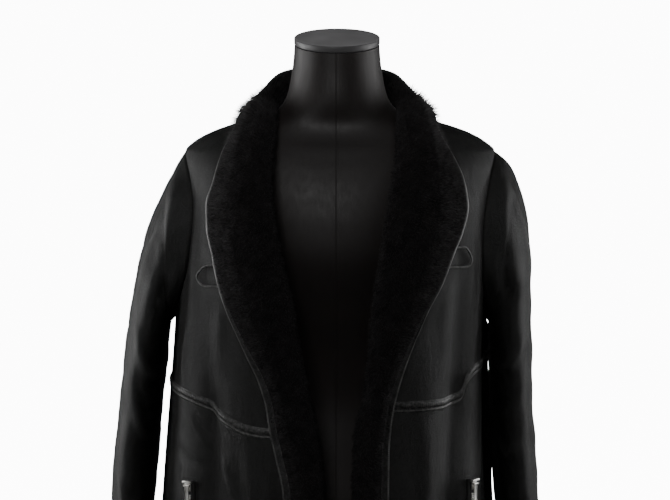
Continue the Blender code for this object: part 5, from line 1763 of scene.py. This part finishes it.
# ---------------------------------------------------------------- stage
CAMERA_AIM = (-0.0026, -0.10, 0.70)
CAMERA_PITCH = math.radians(7.0)
CAMERA_DISTANCE = 2.25
SENSOR_WIDTH = 36.0
FRAME_WIDTH = 670.0        # pixels
FOCAL_LENGTH = 1790.0      # pixels
FLOOR_RADIUS = 9.0
WALL_RADIUS = 8.8
WALL_HEIGHT = 9.0
WALL_MIDDLE_Z = 4.4
LOW_AIM = (0.0, 0.0, 0.62)
# Each softbox: place, aim, width, height and share of the light's power.
SOFTBOXES = {
    "softbox_left": ((-1.60, 0.55, 0.68), LOW_AIM, 0.50, 0.95, 0.60),
    "softbox_right": ((1.60, 0.45, 0.68), LOW_AIM, 0.50, 0.95, 0.48),
    "softbox_side_left": ((-1.80, -0.35, 0.80), LOW_AIM, 0.40, 1.0, 0.42),
    "softbox_side_right": ((1.80, -0.35, 0.80), LOW_AIM, 0.40, 1.0, 0.28),
    "softbox_top": ((0.0, -0.9, 2.5), (0.0, -0.05, 0.9), 1.6, 1.0, 0.09),
    "softbox_front": ((-0.4, -2.4, 2.0), (0.0, 0.0, 0.80), 0.9, 0.9, 0.68),
}


def make_camera():
    data = bpy.data.cameras.new("studio_camera")
    data.sensor_width = SENSOR_WIDTH
    data.lens = FOCAL_LENGTH * SENSOR_WIDTH / FRAME_WIDTH
    made = placed("studio_camera", data)
    made.location = (CAMERA_AIM[0], CAMERA_AIM[1] - CAMERA_DISTANCE * math.cos(CAMERA_PITCH),
                     CAMERA_AIM[2] + CAMERA_DISTANCE * math.sin(CAMERA_PITCH))
    made.rotation_euler = (math.pi / 2.0 - CAMERA_PITCH, 0.0, 0.0)
    bpy.context.scene.camera = made


def softbox(name, place, aim, width, height, power):
    data = bpy.data.lights.new(name, "AREA")
    data.shape = "RECTANGLE"
    data.size = width
    data.size_y = height
    data.energy = power
    made = placed(name, data)
    made.location = place
    way = Vector(aim) - Vector(place)
    made.rotation_euler = way.to_track_quat("-Z", "Y").to_euler()


def stage_finish(name, colour, glow, far_glow):
    """A pale studio surface that glows more from a little way behind the stand."""
    f = Finish(name, 0.9, specular=0.1)
    distance = f.add("ShaderNodeVectorMath", {0: f.place}, operation="LENGTH")
    share = f.spanned(distance.outputs["Value"], 0.35, 1.35, 0.0, 1.0)
    growth = f.maths(max(far_glow / glow, 1.0001), share, "POWER")
    f.put(f.shader.inputs["Emission Strength"], f.maths(growth, glow, "MULTIPLY"))
    f.shader.inputs["Emission Color"].default_value = (1.0, 1.0, 1.0, 1.0)
    clouds = f.noise(3.0, 2.0)
    pale = [min(1.0, 1.02 * c) for c in colour[:3]]
    return f.end(f.blend_colour(f.spanned(clouds, 0.3, 0.7, 0.0, 1.0), colour, pale))


def make_stage():
    look = bpy.context.scene.jacket_stage
    bpy.ops.mesh.primitive_circle_add(vertices=96, radius=FLOOR_RADIUS, fill_type="NGON",
                                      location=(0.0, 0.0, 0.0))
    floor = bpy.context.object
    floor.name = "studio_floor"
    bpy.ops.mesh.primitive_cylinder_add(vertices=128, radius=WALL_RADIUS, depth=WALL_HEIGHT,
                                        end_fill_type="NOTHING",
                                        location=(0.0, 0.0, WALL_MIDDLE_Z))
    wall = bpy.context.object
    wall.name = "studio_wall"
    wall.visible_shadow = False
    for surface, name, glow in ((floor, "pale_floor", look.floor_glow),
                                (wall, "pale_wall", look.wall_glow)):
        surface.data.materials.append(stage_finish(name, look.floor, glow, look.wall_glow))
        surface.visible_glossy = False
        surface.visible_diffuse = False
    world = bpy.data.worlds.new("studio_air")
    world.use_nodes = True
    sky = world.node_tree.nodes["Background"]
    sky.inputs["Color"].default_value = (1.0, 1.0, 1.0, 1.0)
    sky.inputs["Strength"].default_value = look.ambient
    bpy.context.scene.world = world
    for name, (place, aim, width, height, share) in SOFTBOXES.items():
        softbox(name, place, aim, width, height, share * look.light_power)


# ---------------------------------------------------------------- the add-on
def colour_property(name, words, value):
    return FloatVectorProperty(name=name, description=words, subtype="COLOR", size=3,
                               min=0.0, max=1.0, default=value)


def share_property(name, words, value, low=0.0, high=1.0):
    return FloatProperty(name=name, description=words, subtype="FACTOR", min=low, max=high,
                         default=value)


def length_property(name, words, value, low, high):
    return FloatProperty(name=name, description=words, unit="LENGTH", precision=5,
                         min=low, max=high, default=value)


def light_property(name, words, value, high, unit="NONE"):
    return FloatProperty(name=name, description=words, unit=unit, min=0.0, max=high,
                         default=value)


def count_property(name, words, value, high):
    return IntProperty(name=name, description=words, min=100, max=high, default=value)


class JacketLeather(bpy.types.PropertyGroup):
    colour: colour_property("Leather", "Colour of the leather", (0.0030, 0.0030, 0.0028))
    wear_and_highlight_colour: colour_property("Worn leather", "Colour at edges and ridges",
                                 (0.0095, 0.0095, 0.0090))
    # Painted highlight colour on the ridges of the seam bands and button loops.
    trim_highlight_colour: colour_property("Trim", "Colour of the ridges of bands and loops",
                                 (0.110, 0.110, 0.107))
    # Painted highlight colour of the thin light lines on the bindings.
    binding_highlight_colour: colour_property("Binding", "Colour of the rubbed lines of the bindings",
                                    (0.280, 0.278, 0.272))
    roughness: share_property("Roughness", "How dull the leather is", 0.43)
    gloss: share_property("Gloss", "Strength of the leather's reflection", 0.42)
    grain_size: length_property("Grain", "Width of one cell of the grain", 0.0011, 0.0002, 0.01)


class JacketPile(bpy.types.PropertyGroup):
    colour: colour_property("Fur", "Colour of the fur at its roots", (0.0088, 0.0078, 0.0081))
    tip_colour: colour_property("Fur tips", "Colour of the fur's lighter blades",
                                (0.0310, 0.0282, 0.0292))
    base_share: share_property("Base", "Share of the reach that the base fills", 0.70, 0.3, 0.95)
    blade_length: length_property("Blade length", "Length of one blade of fur",
                                  0.0052, 0.001, 0.02)
    blade_width: length_property("Blade width", "Half width of a blade at its root",
                                 0.00042, 0.0001, 0.002)
    collar_blades: count_property("Collar blades", "Blades on each side of the collar",
                                  26500, 60000)
    fringe_blades: count_property("Fringe blades", "Blades along the fur's free edge",
                                  8000, 20000)
    front_blades: count_property("Front blades", "Blades inside each front's edge", 6500, 30000)


class JacketSewing(bpy.types.PropertyGroup):
    colour: colour_property("Thread", "Colour of the thread", (0.012, 0.012, 0.012))
    # Painted highlight colour on the thread's twist and the zip tape's ribs.
    highlight_colour: colour_property("Thread highlight", "Colour of the thread's twist",
                                  (0.050, 0.050, 0.049))
    pitch: length_property("Pitch", "Distance from one stitch to the next", 0.0026, 0.001, 0.01)
    thread_radius: length_property("Thread radius", "Half thickness of the thread",
                                   0.00026, 0.0001, 0.001)


class JacketMetal(bpy.types.PropertyGroup):
    colour: colour_property("Nickel", "Colour of the zip's bright metal", (0.93, 0.92, 0.88))
    dull_colour: colour_property("Dull nickel", "Colour of the metal where it is rubbed",
                                 (0.74, 0.72, 0.67))
    roughness: share_property("Roughness", "How dull the metal is", 0.36)


class JacketForm(bpy.types.PropertyGroup):
    satin: colour_property("Satin", "Colour of the form's cover", (0.0120, 0.0088, 0.0082))
    satin_light: colour_property("Satin highlight", "Lighter clouds of the cover",
                                 (0.0175, 0.0132, 0.0124))
    cap: colour_property("Cap", "Colour of the neck cap", (0.100, 0.099, 0.101))
    # Painted highlight colour on the cap's faces that look up.
    cap_top_highlight: colour_property("Cap highlight", "Dust on the top of the cap",
                               (0.480, 0.474, 0.484))
    paint: colour_property("Paint", "Colour of the stand", (0.010, 0.010, 0.010))
    paint_light: colour_property("Dusty paint", "Colour of the stand where it is dusty",
                                 (0.022, 0.022, 0.022))


class JacketStage(bpy.types.PropertyGroup):
    floor: colour_property("Floor", "Colour of the floor and wall", (0.90, 0.90, 0.895))
    floor_glow: light_property("Floor glow", "Light that the floor gives", 0.55, 20.0)
    wall_glow: light_property("Wall glow", "Light that the wall gives", 12.0, 20.0)
    ambient: light_property("Ambient", "Light from all round", 0.035, 3.0)
    light_power: light_property("Light", "Power of a softbox", 22.0, 1000.0, "POWER")


def for_each_side(*makers):
    """Makes the pieces that each side has, the right side's first."""
    for side, word in SIDES:
        for make in makers:
            make(side, word)


class JacketOperator:
    bl_options = {"REGISTER", "UNDO"}


class JACKET_OT_stage(JacketOperator, bpy.types.Operator):
    """Adds the camera, the pale studio and its soft lights"""
    bl_idname = "jacket.stage"
    bl_label = "Studio"

    def execute(self, context):
        make_camera()
        make_stage()
        return {"FINISHED"}


class JACKET_OT_body_panels(JacketOperator, bpy.types.Operator):
    """Adds the back and the fronts, with their topstitching"""
    bl_idname = "jacket.body_panels"
    bl_label = "Body Panels"

    def execute(self, context):
        make_back()
        courses = []
        for side, word in SIDES:
            make_lower_front(side, word)
            make_upper_front(side, word)
            courses += body_seam_courses(side)
            courses.append(hem_course(side))
        sew("body_stitches", courses)
        return {"FINISHED"}


class JACKET_OT_seam_bands(JacketOperator, bpy.types.Operator):
    """Adds the stitched bands over the fronts' curved seams"""
    bl_idname = "jacket.seam_bands"
    bl_label = "Seam Bands"

    def execute(self, context):
        for_each_side(make_seam_band)
        return {"FINISHED"}


class JACKET_OT_sleeves(JacketOperator, bpy.types.Operator):
    """Adds the empty sleeves"""
    bl_idname = "jacket.sleeves"
    bl_label = "Sleeves"

    def execute(self, context):
        for_each_side(make_sleeve)
        return {"FINISHED"}


class JACKET_OT_collar(JacketOperator, bpy.types.Operator):
    """Adds the shawl collar's skin and its fur"""
    bl_idname = "jacket.collar"
    bl_label = "Shawl Collar"

    def execute(self, context):
        for_each_side(make_collar_skin, make_collar_pile)
        return {"FINISHED"}


class JACKET_OT_front_pile(JacketOperator, bpy.types.Operator):
    """Adds the fur inside the front edges"""
    bl_idname = "jacket.front_pile"
    bl_label = "Front Fur"

    def execute(self, context):
        for_each_side(make_front_pile)
        return {"FINISHED"}


class JACKET_OT_bindings(JacketOperator, bpy.types.Operator):
    """Adds the leather bindings of the free edges"""
    bl_idname = "jacket.bindings"
    bl_label = "Edge Bindings"

    def execute(self, context):
        for_each_side(make_binding)
        return {"FINISHED"}


class JACKET_OT_button_loops(JacketOperator, bpy.types.Operator):
    """Adds the thin leather button loops"""
    bl_idname = "jacket.button_loops"
    bl_label = "Button Loops"

    def execute(self, context):
        for_each_side(make_button_loop)
        return {"FINISHED"}


class JACKET_OT_pocket_zips(JacketOperator, bpy.types.Operator):
    """Adds the pocket zips' tapes and teeth, their sliders and their pull tabs"""
    bl_idname = "jacket.pocket_zips"
    bl_label = "Pocket Zips"

    def execute(self, context):
        for_each_side(make_pocket_zip, make_slider, make_pull)
        return {"FINISHED"}


class JACKET_OT_dress_form(JacketOperator, bpy.types.Operator):
    """Adds the dress form's satin cover and finishes its cap, pole and base"""
    bl_idname = "jacket.dress_form"
    bl_label = "Dress Form"

    def execute(self, context):
        make_form_cover()
        return {"FINISHED"}


class JACKET_OT_cloth_facts(JacketOperator, bpy.types.Operator):
    """Does nothing: no flat cut of the leather is stated"""
    bl_idname = "jacket.cloth_facts"
    bl_label = "Cloth Facts"

    def execute(self, context):
        return {"FINISHED"}


class JACKET_PT_panel(bpy.types.Panel):
    """Lists the jacket's pieces and its colours and sizes"""
    bl_idname = "JACKET_PT_panel"
    bl_label = "Shearling Jacket"
    bl_space_type = "VIEW_3D"
    bl_region_type = "UI"
    bl_category = "Jacket"

    def draw(self, context):
        for operator in OPERATORS:
            self.layout.operator(operator.bl_idname)
        for name, group in LOOKS.items():
            box = self.layout.box()
            for key in group.__annotations__:
                box.prop(getattr(context.scene, name), key)


OPERATORS = (
    JACKET_OT_stage,
    JACKET_OT_dress_form,
    JACKET_OT_body_panels,
    JACKET_OT_seam_bands,
    JACKET_OT_sleeves,
    JACKET_OT_collar,
    JACKET_OT_front_pile,
    JACKET_OT_bindings,
    JACKET_OT_button_loops,
    JACKET_OT_pocket_zips,
    JACKET_OT_cloth_facts,
)
LOOKS = {
    "jacket_leather": JacketLeather,
    "jacket_pile": JacketPile,
    "jacket_sewing": JacketSewing,
    "jacket_metal": JacketMetal,
    "jacket_form": JacketForm,
    "jacket_stage": JacketStage,
}


def register():
    for group in LOOKS.values():
        bpy.utils.register_class(group)
    for kind in OPERATORS + (JACKET_PT_panel,):
        bpy.utils.register_class(kind)
    for name, group in LOOKS.items():
        setattr(bpy.types.Scene, name, PointerProperty(type=group))


def unregister():
    for name in LOOKS:
        delattr(bpy.types.Scene, name)
    for kind in (JACKET_PT_panel,) + OPERATORS[::-1]:
        bpy.utils.unregister_class(kind)
    for group in LOOKS.values():
        bpy.utils.unregister_class(group)


def main():
    register()
    for operator in OPERATORS:
        group, name = operator.bl_idname.split(".")
        getattr(getattr(bpy.ops, group), name)()


if __name__ == "__main__":
    main()
